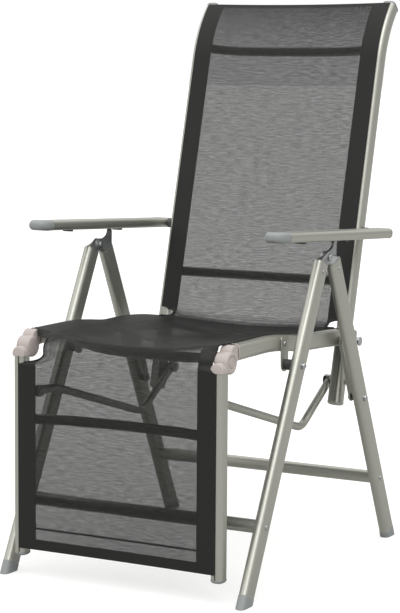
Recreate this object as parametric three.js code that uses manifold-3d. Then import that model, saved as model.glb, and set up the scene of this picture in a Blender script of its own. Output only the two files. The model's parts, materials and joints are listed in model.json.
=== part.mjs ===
// Folding reclining garden chair with a footrest, in aluminium tube and black mesh fabric.
// Millimetres, +Z up. The sitter faces -Y, and the sitter's left is +X.
// The origin is on the floor, in the middle of the chair's box.

import * as THREE from 'three';
import { mergeVertices } from 'three/addons/utils/BufferGeometryUtils.js';
import Module from 'manifold-3d';

const wasm = await Module();
wasm.setup();

// Clearances
const seatGap = 0.3;            // between two pieces that rest on each other
const runningGap = 0.4;         // between two pieces that turn past each other
const boreGap = 0.3;            // all round a bolt in its hole
const overrun = 2;              // how far a cut passes beyond what it cuts
const mergeShare = 0.001;       // points nearer than this share of the gap are one

// Where the chair turns, seen from the side: distance behind the front foot, and height
const footSpread = 650;
const legHinge = { y: 341, z: 627 };
const seatPivotHeight = 428;
const strutFootHeight = 322;
const strutHead = { y: 455, z: 444 };
const backPivot = { y: 527, z: 435 };
const kneePivot = { y: 10, z: 458 };
const linkReach = { y: 10, z: 85 };   // from a pivot of the link down to its pin, forward and down

// Legs
const legWidth = 20;
const legDepth = 40;
const legRound = 9.5;
const legWall = 1.6;
const frontLegSetback = 20;     // leg's middle line ahead of the hinge bolt
const rearLegSetback = 26;      // leg's middle line behind the hinge bolt
const legTopDrop = 17;          // end of the tube below the hinge bolt
const footCapRise = 20;
const footSpigot = 22;
const crossbarRadius = 13;
const crossbarWall = 1.5;
const crossbarHeight = 139;

// Cast brackets at the top of the legs
const lugRadius = 13;
const lugThickness = 7;
const bracketShoulder = 12;
const bracketSpigot = 25;
const finWidth = 16;
const finThickness = 6;
const finRise = 24.5;           // hinge bolt up to the middle of the fin's round top
const finSetback = 40;          // fin behind the hinge bolt
const finFootShare = 0.75;
const gussetShare = 0.45;

// Rails of the seat, the back and the footrest
const railWidth = 28;
const railDepth = 32;
const railRound = 9;
const railWall = 1.4;
const backHalfSpan = 214;
const frontSpread = 7;          // footrest rails and front of the seat rails, outside the back rails
const flatWidth = 12;
const flatDepth = 34;
const flatGap = 2;              // between the back rail and the flattened seat rail
const seatRailOverKnee = 16;
const seatRailRearRise = 6;     // rail's middle above the back pivot
const seatRailTail = 10;        // rail behind the back pivot
const frontRailShares = [
  { along: 0, drop: 0 },
  { along: 0.36, drop: 0.01 },
  { along: 0.7, drop: 0.04 },
  { along: 1, drop: 0.21 },
];
const rearRailShares = [
  { along: 0.2, drop: 0.44, spread: 0.3, flat: 0.15 },
  { along: 0.38, drop: 0.52, spread: 0.78, flat: 0.5 },
  { along: 0.55, drop: 0.58, spread: 1, flat: 0.85 },
  { along: 0.78, drop: 0.74, spread: 1, flat: 1 },
  { along: 1, drop: 1, spread: 1, flat: 1 },
];

// Back
const backLean = 15.1;          // degrees behind the vertical
const backStraight = 599;       // back pivot up to the start of the headrest bend
const backTail = 129;           // back pivot down to the rail's lower end
const backRailSetback = 3.5;    // rail's middle line behind the back pivot
const headrestRadius = 243;
const headrestBend = 30;        // degrees
const armPivotAlong = 229;      // back pivot up to the arm pivot
const armPivotSetback = 2;      // arm pivot behind the rail's middle line

// Footrest
const footRailWidth = 25;
const footRailDepth = 28;
const footRailAhead = 20;       // rail's middle line ahead of the knee pivot
const footRailDrop = 22;        // rail's top below the knee pivot
const footRailFoot = 52;
const footRailLean = 0.8;       // degrees, lower end forward

// Stretchers between the rails
const stretcherRadius = 10;
const stretcherWall = 1.4;
const backUpperAlong = 622;     // along the back, from the back pivot
const backLowerAlong = 124;
const backUpperBow = 22;
const footUpperHeight = 318;
const footLowerHeight = 161;
const footUpperBow = 26;
const seatStretcherPlace = 130;
const seatStretcherDrop = 27;
const seatStretcherRise = -6;   // its ends above the rail's middle line

// Knee knuckles: the upper one's tongue turns between the ears of the lower one's barrel
const kneeWidth = 29;
const kneeRadius = 21;
const kneeWall = 4;             // front wall of the barrel
const kneeSlotReach = 5.5;      // slot for the tongue starts this far ahead of the knee pivot
const earThickness = 6.5;
const tongueNeckRadius = 8;
const tongueNeckRise = 10;      // neck's upper end above the knee pivot
const kneeShoulder = 30;        // front end of the seat rail behind the knee pivot
const kneeFlange = 3;           // rim at the end of the seat rail
const kneeFlangeRise = 1;       // rim beyond the rail's faces
const domeRound = 14;
const domeInset = 1;            // dome's sides inside the rail's
const kneePlug = 25;            // plugs in the rails' ends
const kneeArchRise = 2;         // arched front of the lower knuckle, above the knee pivot
const kneePinRadius = 5;
const kneePinInset = 5;         // blind end below the outer face
const kneeDrumRadius = 12;      // pin's thick middle, inside the tongue

// Bolts and pins
const boltRadius = 4;
const boltHeadRadius = 7;
const boltHeadHeight = 6;
const nutRadius = 6.5;
const nutHeight = 5;
const armNutRadius = 5;
const backPinRadius = 5;
const backPinBossRadius = 10;
const backPinBoss = 10;
const backPinRim = 3;
const backPinRimRadius = 11.5;
const backPinHeadRadius = 18;
const backWasherRadius = 14;     // washer on the pin, between the two rails
const backBushRadius = 10;      // bush on the pin, inside the back rail
const backBushLength = 15;
const armBushRadius = 11;
const armBushLength = 15.5;
const linkHeadRadius = 12;
const linkHeadHeight = 7;

// Seat straps, spacers and struts
const strapWidth = 30;
const strapThickness = 3;
const strapTopShare = 0.4;      // share of the rail's depth above its middle
const strapFootRadius = 14;
const spacerRadius = 10.5;
const spacerLength = 17.5;
const strutThickness = 4;
const strutHalfWidth = 9;
const strutBossRadius = 7;
const strutRailGap = 2;         // strut's plate outside the flattened rail

// Footrest links
const linkRadius = 8;
const linkInset = 3;            // between the link and the rails' inner faces
const linkEyeRadius = 12;
const linkEyeWidth = 9;
const linkBend = { y: 387, z: 102 };  // from the link's front pin, rearward and down
const linkBendRadius = 45;
const linkCrank = { y: 56, z: 1 };    // slight bend near the front pin

// Armrests
const armWidth = 50;
const armThickness = 20;
const armRound = 8;
const armWall = 2;
const armBoreRound = 4;
const armFront = 452;           // arm pivot forward to the end of the tube
const armRear = 24;
const armSlot = 22;
const noseLength = 36;
const noseTipShare = 0.12;      // small flat at the tip, share of the tube's section
const noseSpigot = 30;
const rackWidth = 18;
const rackFront = 371;          // arm pivot forward to the rack's front end
const rackRear = 167;
const rackInset = 1;            // tooth tips above the arm's underside
const rackTeeth = 9;
const rackToothDepth = 5;
const rackFootLength = 12;
const rackFootDrop = 5;

// Fabric
const fabricThickness = 2;
const fabricInRail = 2;         // edge inside the middle of the front rails
const fabricOnRail = 13;        // width that lies flat along each edge
const neckGap = 2;              // between the narrow part of the fabric and the knuckles
const neckLength = 18;          // narrow part on top, behind the knee pivot's knuckle
const backFabricHem = 20;       // fabric's lower edge above the back pivot, along the back
const seatFabricRear = 90;      // seat fabric's rear edge ahead of the back pivot
const seatSag = 34;
const seatRearSag = 20;
const footSag = 4;
const frontRoll = 36;           // radius of the fabric over the front edge
const footFabricTop = 12;       // footrest's fabric below the rail's top
const kneeFabricGap = 14;       // between the seat's fabric and the footrest's
const footFabricHem = 62;

// How finely curves are cut
const cornerSteps = 3;
const roundSteps = 12;
const bendSteps = 6;
const bowSteps = 8;
const sheetColumns = 10;

const finish = {
  aluminium: { color: 0xa2a49a, roughness: 0.42, metalness: 0.75 },
  casting: { color: 0x9a9c9c, roughness: 0.55, metalness: 0.5 },
  steel: { color: 0xb9bab8, roughness: 0.35, metalness: 0.9 },
  knuckle: { color: 0xbeb4b2, roughness: 0.6, metalness: 0 },
  nose: { color: 0xaab0b2, roughness: 0.55, metalness: 0 },
  darkPlastic: { color: 0x3c3d3b, roughness: 0.6, metalness: 0 },
  fabric: { color: 0x2a2a28, roughness: 0.85, metalness: 0 },
};

const xAxis = new THREE.Vector3(1, 0, 0);
const zAxis = new THREE.Vector3(0, 0, 1);
const radians = THREE.MathUtils.degToRad;
const materials = Object.fromEntries(
  Object.entries(finish).map(([name, values]) => [name, new THREE.MeshStandardMaterial(values)]),
);

// Points worked out from the sizes above
const frontFoot = { y: 0, z: 0 };
const rearFoot = { y: footSpread, z: 0 };
const frontTop = { y: legHinge.y - frontLegSetback, z: legHinge.z };
const rearTop = { y: legHinge.y + rearLegSetback, z: legHinge.z };
const frontHalfSpan = backHalfSpan + frontSpread;
const rearHalfSpan = backHalfSpan + railWidth / 2 + flatGap + flatWidth / 2;
const strapInner = frontHalfSpan + railWidth / 2 + seatGap;
const strapOuter = strapInner + strapThickness;
const legInner = strapOuter + runningGap + spacerLength + seatGap;
const legHalfSpan = legInner + legWidth / 2;
const legOuter = legInner + legWidth;
const seatRailHeight = kneePivot.z + seatRailOverKnee;
const footRailTop = kneePivot.z - footRailDrop;
const fabricHalf = frontHalfSpan - fabricInRail;
const kneeInner = frontHalfSpan - kneeWidth / 2;
const kneeOuter = frontHalfSpan + kneeWidth / 2;
const neckHalf = kneeInner - neckGap;
const linkDrop = { y: kneePivot.y - linkReach.y, z: kneePivot.z - linkReach.z };
const linkPin = { y: backPivot.y - linkReach.y, z: backPivot.z - linkReach.z };
const armSpacing = legHalfSpan - armWidth / 2 - backHalfSpan - railWidth / 2;
const finTop = { y: legHinge.y + finSetback, z: legHinge.z + finRise };
const railInner = Math.min(backHalfSpan, frontHalfSpan) - railWidth / 2;
const linkMiddle = railInner - linkInset - linkRadius;

// Point at a given height on the line from a foot to the top of its leg
function onLeg(foot, top, height) {
  const share = (height - foot.z) / (top.z - foot.z);
  return { y: foot.y + share * (top.y - foot.y), z: height };
}

const seatPivot = onLeg(frontFoot, frontTop, seatPivotHeight);
const strutFoot = onLeg(rearFoot, rearTop, strutFootHeight);

// Back: its rails lean back from the pivot, and bend back further at the head
const backUp = new THREE.Vector2(Math.sin(radians(backLean)), Math.cos(radians(backLean)));
const backRear = new THREE.Vector2(backUp.y, -backUp.x);

// Point along the back from its pivot, and its distance behind the rail's middle line
function onBack(along, behind) {
  const bent = Math.max(along - backStraight, 0) / headrestRadius;
  const straight = Math.min(along, backStraight);
  const rise = headrestRadius * Math.sin(bent);
  const fall = headrestRadius * (1 - Math.cos(bent)) + backRailSetback;
  const up = new THREE.Vector2(
    backUp.x * Math.cos(bent) + backRear.x * Math.sin(bent),
    backUp.y * Math.cos(bent) + backRear.y * Math.sin(bent),
  );
  const rear = new THREE.Vector2(up.y, -up.x);
  return {
    y: backPivot.y + backUp.x * (straight + rise) + backRear.x * fall + rear.x * behind,
    z: backPivot.z + backUp.y * (straight + rise) + backRear.y * fall + rear.y * behind,
  };
}

const armPivot = onBack(armPivotAlong, armPivotSetback);

// The armrest lies on the round top of the fin, so its slope follows from that and its pivot
function armSlope() {
  const run = armPivot.y - finTop.y;
  const rise = finTop.z - armPivot.z;
  const distance = Math.hypot(run, rise);
  const offset = armThickness / 2 - rackInset + finWidth / 2 + seatGap;
  return Math.atan2(rise, run) + Math.asin(offset / distance);
}

const armTilt = armSlope();

// Rounded rectangle, counterclockwise, as a list of points
function roundedSection(width, depth, round) {
  const radius = Math.min(round, width / 2, depth / 2);
  const points = [];
  const corners = [[1, 1], [-1, 1], [-1, -1], [1, -1]];
  corners.forEach(([sx, sy], corner) => {
    for (let step = 0; step <= cornerSteps; step += 1) {
      const angle = (corner + step / cornerSteps) * Math.PI / 2;
      points.push(new THREE.Vector2(
        sx * (width / 2 - radius) + radius * Math.cos(angle),
        sy * (depth / 2 - radius) + radius * Math.sin(angle),
      ));
    }
  });
  return points;
}

// Radius of a faceted hole that clears a round piece of the given radius
function clearing(radius) {
  return (radius + runningGap) / Math.cos(Math.PI / roundSteps);
}

function circleSection(radius) {
  const points = [];
  for (let step = 0; step < roundSteps; step += 1) {
    const angle = 2 * Math.PI * step / roundSteps;
    points.push(new THREE.Vector2(radius * Math.cos(angle), radius * Math.sin(angle)));
  }
  return points;
}

// Closed body from a path of points, each with its own outer and, for a tube, inner outline.
// The outline's first axis stays as near as it can to the reference direction.
function sweep(path, reference) {
  const vertices = [];
  const triangles = [];
  const loops = path[0].inner ? ['outer', 'inner'] : ['outer'];
  const count = path[0].outer.length;
  const index = (loop, ring, point) => (
    (loop * path.length + ring) * count + (point % count)
  );
  loops.forEach((loop) => {
    path.forEach((station, ring) => {
      const before = path[Math.max(ring - 1, 0)].at;
      const after = path[Math.min(ring + 1, path.length - 1)].at;
      const ahead = station.ahead ?? after.clone().sub(before).normalize();
      const across = reference.clone().addScaledVector(ahead, -reference.dot(ahead)).normalize();
      const over = ahead.clone().cross(across);
      station[loop].forEach((point) => {
        const place = station.at.clone()
          .addScaledVector(across, point.x)
          .addScaledVector(over, point.y);
        vertices.push(place.x, place.y, place.z);
      });
    });
  });
  const quad = (a, b, c, d) => triangles.push(a, b, c, a, c, d);
  for (let ring = 0; ring < path.length - 1; ring += 1) {
    for (let point = 0; point < count; point += 1) {
      quad(index(0, ring, point), index(0, ring, point + 1),
        index(0, ring + 1, point + 1), index(0, ring + 1, point));
      if (loops.length > 1) {
        quad(index(1, ring, point), index(1, ring + 1, point),
          index(1, ring + 1, point + 1), index(1, ring, point + 1));
      }
    }
  }
  const last = path.length - 1;
  for (let point = 0; point < count; point += 1) {
    if (loops.length > 1) {
      quad(index(0, last, point), index(0, last, point + 1),
        index(1, last, point + 1), index(1, last, point));
      quad(index(0, 0, point), index(1, 0, point),
        index(1, 0, point + 1), index(0, 0, point + 1));
    } else if (point > 0 && point < count - 1) {
      triangles.push(index(0, last, 0), index(0, last, point), index(0, last, point + 1));
      triangles.push(index(0, 0, 0), index(0, 0, point + 1), index(0, 0, point));
    }
  }
  const geometry = new THREE.BufferGeometry();
  geometry.setAttribute('position', new THREE.Float32BufferAttribute(vertices, 3));
  geometry.setIndex(triangles);
  return geometry;
}

// Straight or bent tube of one section
function tube(points, section, innerSection, reference) {
  return sweep(points.map((at) => ({ at, outer: section, inner: innerSection })), reference);
}

// Flat plate seen from the side: its outline is in Y and Z, and it lies between two X values
function sidePlate(outline, fromX, toX, holes = []) {
  const shape = new THREE.Shape(outline);
  holes.forEach(({ y, z, radius }) => {
    const hole = new THREE.Path();
    hole.absarc(y, z, radius, 0, 2 * Math.PI, true);
    shape.holes.push(hole);
  });
  const geometry = new THREE.ExtrudeGeometry(shape, {
    depth: toX - fromX, bevelEnabled: false, curveSegments: roundSteps,
  });
  const turn = new THREE.Matrix4().makeBasis(
    new THREE.Vector3(0, 1, 0), new THREE.Vector3(0, 0, 1), xAxis,
  );
  geometry.applyMatrix4(turn);
  geometry.translate(fromX, 0, 0);
  return geometry;
}

// Outline around a set of circles, as a belt would lie round them
function beltOutline(circles) {
  const points = [];
  circles.forEach(({ y, z, radius }) => {
    circleSection(radius).forEach((point) => {
      points.push(new THREE.Vector2(y + point.x, z + point.y));
    });
  });
  points.sort((a, b) => a.x - b.x || a.y - b.y);
  const turn = (o, a, b) => (a.x - o.x) * (b.y - o.y) - (a.y - o.y) * (b.x - o.x);
  const half = (list) => {
    const hull = [];
    list.forEach((point) => {
      while (hull.length > 1 && turn(hull[hull.length - 2], hull[hull.length - 1], point) <= 0) {
        hull.pop();
      }
      hull.push(point);
    });
    hull.pop();
    return hull;
  };
  return [...half(points), ...half([...points].reverse())];
}

// Turned piece lying along X: a list of [x, radius] pairs, from one end to the other
function turned(profile) {
  const ends = [[profile[0][0], 0], ...profile, [profile[profile.length - 1][0], 0]];
  const points = ends.map(([x, radius]) => new THREE.Vector2(radius, x));
  const geometry = new THREE.LatheGeometry(points, roundSteps);
  geometry.rotateZ(-Math.PI / 2);
  return geometry;
}

function turnedAt(profile, { y, z }) {
  const geometry = turned(profile);
  geometry.translate(0, y, z);
  return geometry;
}

function rod(fromX, toX, radius, place) {
  return turnedAt([[fromX, radius], [toX, radius]], place);
}

function toSolid(geometry) {
  const bare = geometry.clone();
  bare.deleteAttribute('normal');
  bare.deleteAttribute('uv');
  const merged = mergeVertices(bare, seatGap * mergeShare);
  const kept = [];
  const list = merged.index.array;
  for (let corner = 0; corner < list.length; corner += 3) {
    const [a, b, c] = list.slice(corner, corner + 3);
    if (a !== b && b !== c && a !== c) {
      kept.push(a, b, c);
    }
  }
  const mesh = new wasm.Mesh({
    numProp: 3,
    vertProperties: Float32Array.from(merged.attributes.position.array),
    triVerts: Uint32Array.from(kept),
  });
  return new wasm.Manifold(mesh);
}

function fromSolid(solid) {
  const mesh = solid.getMesh();
  const geometry = new THREE.BufferGeometry();
  geometry.setAttribute('position', new THREE.BufferAttribute(Float32Array.from(mesh.vertProperties), 3));
  geometry.setIndex(Array.from(mesh.triVerts));
  return geometry;
}

function join(...pieces) {
  return fromSolid(pieces.map(toSolid).reduce((whole, piece) => whole.add(piece)));
}

function cut(piece, ...tools) {
  return fromSolid(tools.map(toSolid).reduce((whole, tool) => whole.subtract(tool), toSolid(piece)));
}

// What two solids have in common
function common(piece, tool) {
  return fromSolid(toSolid(piece).intersect(toSolid(tool)));
}

function block(fromX, toX, fromY, toY, fromZ, toZ) {
  const geometry = new THREE.BoxGeometry(toX - fromX, toY - fromY, toZ - fromZ);
  geometry.translate((fromX + toX) / 2, (fromY + toY) / 2, (fromZ + toZ) / 2);
  return geometry;
}

// The other side's piece
function mirrored(geometry) {
  const copy = geometry.clone();
  copy.applyMatrix4(new THREE.Matrix4().makeScale(-1, 1, 1));
  if (!copy.index) {
    copy.setIndex([...Array(copy.attributes.position.count).keys()]);
  }
  const list = copy.index.array;
  for (let corner = 0; corner < list.length; corner += 3) {
    [list[corner], list[corner + 2]] = [list[corner + 2], list[corner]];
  }
  return copy;
}

const chair = new THREE.Group();
chair.name = 'chair';

function addPiece(group, name, geometry, material) {
  geometry.computeVertexNormals();
  const mesh = new THREE.Mesh(geometry, materials[material]);
  mesh.name = name;
  group.add(mesh);
  return mesh;
}

function addPair(group, name, geometry, material) {
  addPiece(group, `${name}_left`, geometry, material);
  addPiece(group, `${name}_right`, mirrored(geometry), material);
}

function subGroup(name) {
  const group = new THREE.Group();
  group.name = name;
  chair.add(group);
  return group;
}

function sidePoint(x, { y, z }) {
  return new THREE.Vector3(x, y, z);
}

// Legs: oval tube from just above the floor to just below the hinge
function legDirection(foot, top) {
  return new THREE.Vector2(top.y - foot.y, top.z - foot.z).normalize();
}

function alongDirection(place, direction, distance) {
  return { y: place.y + direction.x * distance, z: place.z + direction.y * distance };
}

function alongLeg(foot, top, distance) {
  return alongDirection(foot, legDirection(foot, top), distance);
}

const legSection = roundedSection(legWidth, legDepth, legRound);
const legBore = roundedSection(legWidth - 2 * legWall, legDepth - 2 * legWall, legRound - legWall);
const plugSection = roundedSection(
  legWidth - 2 * legWall - 2 * seatGap, legDepth - 2 * legWall - 2 * seatGap, legRound - legWall,
);

function legTube(foot, top, pivot, holeFrom) {
  const start = sidePoint(legHalfSpan, alongLeg(foot, top, footCapRise));
  const end = sidePoint(legHalfSpan, onLeg(foot, top, legHinge.z - legTopDrop));
  const body = tube([start, end], legSection, legBore, xAxis);
  return cut(body, rod(holeFrom, legOuter + overrun, boltRadius + boreGap, pivot));
}

// Foot: a plastic block under the tube's end, with a plug in the tube, cut flat on the floor
function footCap(foot, top) {
  const low = sidePoint(legHalfSpan, alongLeg(foot, top, -footCapRise));
  const shoulder = sidePoint(legHalfSpan, alongLeg(foot, top, footCapRise - seatGap));
  const plugEnd = sidePoint(legHalfSpan, alongLeg(foot, top, footCapRise + footSpigot));
  const body = join(
    tube([low, shoulder], legSection, undefined, xAxis),
    tube([sidePoint(legHalfSpan, foot), plugEnd], plugSection, undefined, xAxis),
  );
  const reach = legDepth + footCapRise;
  const floor = block(
    legInner - overrun, legOuter + overrun, foot.y - reach, foot.y + reach, foot.z - 2 * reach, foot.z,
  );
  return cut(body, floor);
}

// Cast bracket: a plug in the tube, a shoulder on its end, and a thin lug round the hinge bolt
function legBracket(foot, top, lugFrom, lugTo, fin) {
  const plugStart = sidePoint(legHalfSpan, onLeg(foot, top, legHinge.z - legTopDrop - bracketSpigot));
  const tubeEnd = onLeg(foot, top, legHinge.z - legTopDrop);
  const direction = legDirection(foot, top);
  const away = alongDirection(tubeEnd, direction, seatGap);
  const shoulderTop = alongDirection(away, direction, bracketShoulder);
  const topSection = roundedSection(legWidth * finFootShare, legDepth * finFootShare, legRound);
  const shoulder = sweep([
    { at: sidePoint(legHalfSpan, away), outer: legSection },
    { at: sidePoint(legHalfSpan, shoulderTop), outer: topSection },
  ], xAxis);
  const plugEnd = alongDirection(away, direction, legRound / 2);
  const plug = tube([plugStart, sidePoint(legHalfSpan, plugEnd)], plugSection, undefined, xAxis);
  const corner = legDepth / 2 - legRound;
  const rim = (sign) => ({
    y: away.y + direction.x * legRound + sign * direction.y * corner,
    z: away.z + direction.y * legRound - sign * direction.x * corner,
    radius: legRound,
  });
  const lug = sidePlate(
    beltOutline([rim(1), rim(-1), { ...legHinge, radius: lugRadius }]), lugFrom, lugTo,
  );
  const pieces = [shoulder, plug, lug, ...fin];
  const bolt = rod(lugFrom - legWidth, lugTo + legWidth, boltRadius + boreGap, legHinge);
  return { pieces, bolt };
}

const lugSplit = legHalfSpan;
const frontLug = [lugSplit + runningGap / 2, lugSplit + runningGap / 2 + lugThickness];
const rearLug = [lugSplit - runningGap / 2 - lugThickness, lugSplit - runningGap / 2];

// Room for the other bracket's lug, which turns past this one
function lugRoom(fromX, toX) {
  return rod(fromX, toX, clearing(lugRadius), legHinge);
}

function frontBracket() {
  const { pieces, bolt } = legBracket(frontFoot, frontTop, ...frontLug, []);
  return cut(join(...pieces), bolt, lugRoom(legInner - overrun, lugSplit + runningGap / 2));
}

function rearBracket() {
  const finX = [legHalfSpan - finThickness / 2, legHalfSpan + finThickness / 2];
  const fin = sidePlate(beltOutline([
    { ...finTop, radius: finWidth / 2 },
    { y: finTop.y, z: legHinge.z + finWidth / 2, radius: finWidth / 2 },
  ]), ...finX);
  const gusset = sidePlate(beltOutline([
    { y: finTop.y, z: legHinge.z + lugRadius * finFootShare, radius: finWidth / 2 },
    { ...legHinge, radius: lugRadius },
    { y: rearTop.y, z: legHinge.z, radius: lugRadius * gussetShare },
  ]), ...rearLug);
  const { pieces, bolt } = legBracket(rearFoot, rearTop, ...rearLug, [fin, gusset]);
  return cut(join(...pieces), bolt, lugRoom(lugSplit - runningGap / 2, legOuter + overrun));
}

// Straight round bar or tube across the chair
function straightBar(place, halfSpan, radius, wall) {
  return tube(
    [sidePoint(-halfSpan, place), sidePoint(halfSpan, place)],
    circleSection(radius), circleSection(radius - wall), zAxis,
  );
}

function crossbar(foot, top) {
  return straightBar(onLeg(foot, top, crossbarHeight), legInner - seatGap, crossbarRadius, crossbarWall);
}

// Bolt lying along X, with a head at its inner end and a nut at its outer end
function bolt(place, headX, nutX) {
  return turnedAt([
    [headX - boltHeadHeight, boltHeadRadius / 2], [headX - boltHeadHeight / 2, boltHeadRadius],
    [headX, boltHeadRadius], [headX, boltRadius], [nutX, boltRadius], [nutX, nutRadius],
    [nutX + nutHeight, nutRadius],
  ], place);
}

const frontLegs = subGroup('front_legs');
addPair(frontLegs, 'front_leg', legTube(frontFoot, frontTop, seatPivot, legInner - overrun), 'aluminium');
addPair(frontLegs, 'front_foot_cap', footCap(frontFoot, frontTop), 'nose');
addPair(frontLegs, 'front_leg_bracket', frontBracket(), 'casting');
addPiece(frontLegs, 'front_crossbar', crossbar(frontFoot, frontTop), 'aluminium');
addPair(frontLegs, 'leg_hinge_bolt',
  bolt(legHinge, rearLug[0] - seatGap, frontLug[1] + seatGap), 'steel');
addPair(frontLegs, 'seat_pivot_bolt',
  bolt(seatPivot, strapInner - runningGap, legOuter + seatGap), 'steel');
addPair(frontLegs, 'seat_pivot_spacer', cut(
  rod(strapOuter + runningGap, legInner - seatGap, spacerRadius, seatPivot),
  rod(strapInner, legInner + overrun, boltRadius + boreGap, seatPivot),
), 'darkPlastic');

const rearLegs = subGroup('rear_legs');
const strutInner = rearHalfSpan + flatWidth / 2 + strutRailGap;
const strutOuter = strutInner + strutThickness;
addPair(rearLegs, 'rear_leg', legTube(rearFoot, rearTop, strutFoot, legInner - overrun), 'aluminium');
addPair(rearLegs, 'rear_foot_cap', footCap(rearFoot, rearTop), 'nose');
addPair(rearLegs, 'rear_leg_bracket', rearBracket(), 'casting');
addPiece(rearLegs, 'rear_crossbar', crossbar(rearFoot, rearTop), 'aluminium');
addPair(rearLegs, 'strut_bolt', join(
  bolt(strutFoot, strutInner - runningGap, legOuter + seatGap),
  rod(strutOuter + runningGap, legInner - seatGap, boltHeadRadius, strutFoot),
), 'steel');

// Strut: a plate from the rear leg up to the seat rail, with a round-headed rivet at its top
function strut() {
  const plate = sidePlate(
    beltOutline([{ ...strutFoot, radius: strutHalfWidth }, { ...strutHead, radius: strutHalfWidth }]),
    strutInner, strutOuter, [{ ...strutFoot, radius: boltRadius + boreGap }],
  );
  const rivet = rod(strutInner - strutRailGap + runningGap, strutOuter - overrun, strutBossRadius, strutHead);
  return join(plate, rivet);
}

const struts = subGroup('struts');
addPair(struts, 'strut', strut(), 'aluminium');

// Seat rail: full section in front, flattened and set outward behind
const seatRailFront = kneePivot.y + kneeShoulder;

const strapRear = seatPivot.y + strapWidth / 2;
const seatRailPlaces = [
  ...frontRailShares.map(({ along, drop }) => ({
    y: THREE.MathUtils.lerp(seatRailFront, strapRear, along), drop, spread: 0, flat: 0,
  })),
  ...rearRailShares.map(({ along, drop, spread, flat }) => ({
    y: THREE.MathUtils.lerp(strapRear, backPivot.y, along), drop, spread, flat,
  })),
].map(({ y, drop, spread, flat }) => ({
  y,
  z: THREE.MathUtils.lerp(seatRailHeight, backPivot.z + seatRailRearRise, drop),
  x: THREE.MathUtils.lerp(frontHalfSpan, rearHalfSpan, spread),
  width: THREE.MathUtils.lerp(railWidth, flatWidth, flat),
  depth: THREE.MathUtils.lerp(railDepth, flatDepth, flat),
}));

function seatRail() {
  const path = seatRailPlaces.map(({ x, y, z, width, depth }) => ({
    at: new THREE.Vector3(x, y, z),
    outer: roundedSection(width, depth, railRound),
    inner: roundedSection(width - 2 * railWall, depth - 2 * railWall, railRound - railWall),
  }));
  const lastOne = path[path.length - 1];
  const before = path[path.length - 2];
  const slope = lastOne.at.clone().sub(before.at).normalize();
  path.push({ ...lastOne, at: lastOne.at.clone().addScaledVector(slope, seatRailTail) });
  return cut(
    sweep(path, xAxis),
    rod(rearHalfSpan - flatWidth, rearHalfSpan + flatWidth, backPinRadius + boreGap, backPivot),
  );
}

function seatRailHeightAt(y) {
  const after = Math.max(seatRailPlaces.findIndex((place) => place.y >= y), 1);
  const low = seatRailPlaces[after - 1];
  const high = seatRailPlaces[after];
  return THREE.MathUtils.mapLinear(y, low.y, high.y, low.z, high.z);
}

function seatStrap() {
  const top = seatRailHeightAt(seatPivot.y) + railDepth * strapTopShare;
  const corner = strapWidth / 2 - strapThickness;
  return sidePlate(beltOutline([
    { ...seatPivot, radius: strapFootRadius },
    { y: seatPivot.y - corner, z: top - strapThickness, radius: strapThickness },
    { y: seatPivot.y + corner, z: top - strapThickness, radius: strapThickness },
  ]), strapInner, strapOuter, [{ ...seatPivot, radius: boltRadius + boreGap }]);
}

// Round stretcher between two rails, bowed in the middle towards the given side
function stretcher(place, halfSpan, bow) {
  const path = [];
  for (let step = 0; step <= bowSteps; step += 1) {
    const share = 2 * step / bowSteps - 1;
    const amount = 1 - share ** 4;
    const end = step === 0 || step === bowSteps;
    path.push({
      at: new THREE.Vector3(share * halfSpan, place.y + bow.y * amount, place.z + bow.z * amount),
      ahead: end ? xAxis : undefined,
      outer: circleSection(stretcherRadius),
      inner: circleSection(stretcherRadius - stretcherWall),
    });
  }
  return sweep(path, new THREE.Vector3(0, bow.z, -bow.y).normalize());
}

// Plug that fits in the end of a rail
function plugIn(width, depth) {
  const slack = 2 * (railWall + seatGap);
  return roundedSection(width - slack, depth - slack, railRound - railWall);
}

// Upper knuckle: a plug in the seat rail, a rim, a dome, and a tongue round the drum of the knee pin
const tongueX = [kneeInner + earThickness + runningGap, kneeOuter - earThickness - runningGap];
const tongueRadius = kneeRadius - kneeWall - runningGap;

function seatKnuckle() {
  const rimRear = seatRailFront - seatGap;
  const rimFront = rimRear - kneeFlange;
  const low = seatRailHeight - railDepth / 2;
  const high = seatRailHeight + railDepth / 2;
  const corner = kneeFlange / 2;
  const at = (y) => new THREE.Vector3(frontHalfSpan, y, seatRailHeight);
  const rimSection = roundedSection(
    railWidth + 2 * kneeFlangeRise, railDepth + 2 * kneeFlangeRise, railRound + kneeFlangeRise,
  );
  const rim = tube([at(rimFront), at(rimRear)], rimSection, undefined, xAxis);
  const plugSize = plugIn(railWidth, railDepth);
  const plug = tube([at(rimFront), at(seatRailFront + kneePlug)], plugSize, undefined, xAxis);
  const dome = sidePlate(beltOutline([
    { y: rimRear - domeRound, z: high - domeRound, radius: domeRound },
    { y: rimFront, z: high - corner, radius: corner },
    { y: rimFront, z: low + corner, radius: corner },
  ]), frontHalfSpan - railWidth / 2 + domeInset, frontHalfSpan + railWidth / 2 - domeInset);
  const barrelRoom = rod(kneeInner - overrun, kneeOuter + overrun, clearing(kneeRadius), kneePivot);
  const neck = sidePlate(beltOutline([
    { ...kneePivot, radius: tongueNeckRadius },
    { y: rimFront - tongueNeckRadius, z: kneePivot.z + tongueNeckRise, radius: tongueNeckRadius },
  ]), ...tongueX);
  return cut(
    join(cut(dome, barrelRoom), rim, plug, neck, rod(...tongueX, tongueRadius, kneePivot)),
    rod(tongueX[0] - overrun, tongueX[1] + overrun, clearing(kneeDrumRadius), kneePivot),
  );
}

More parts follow.
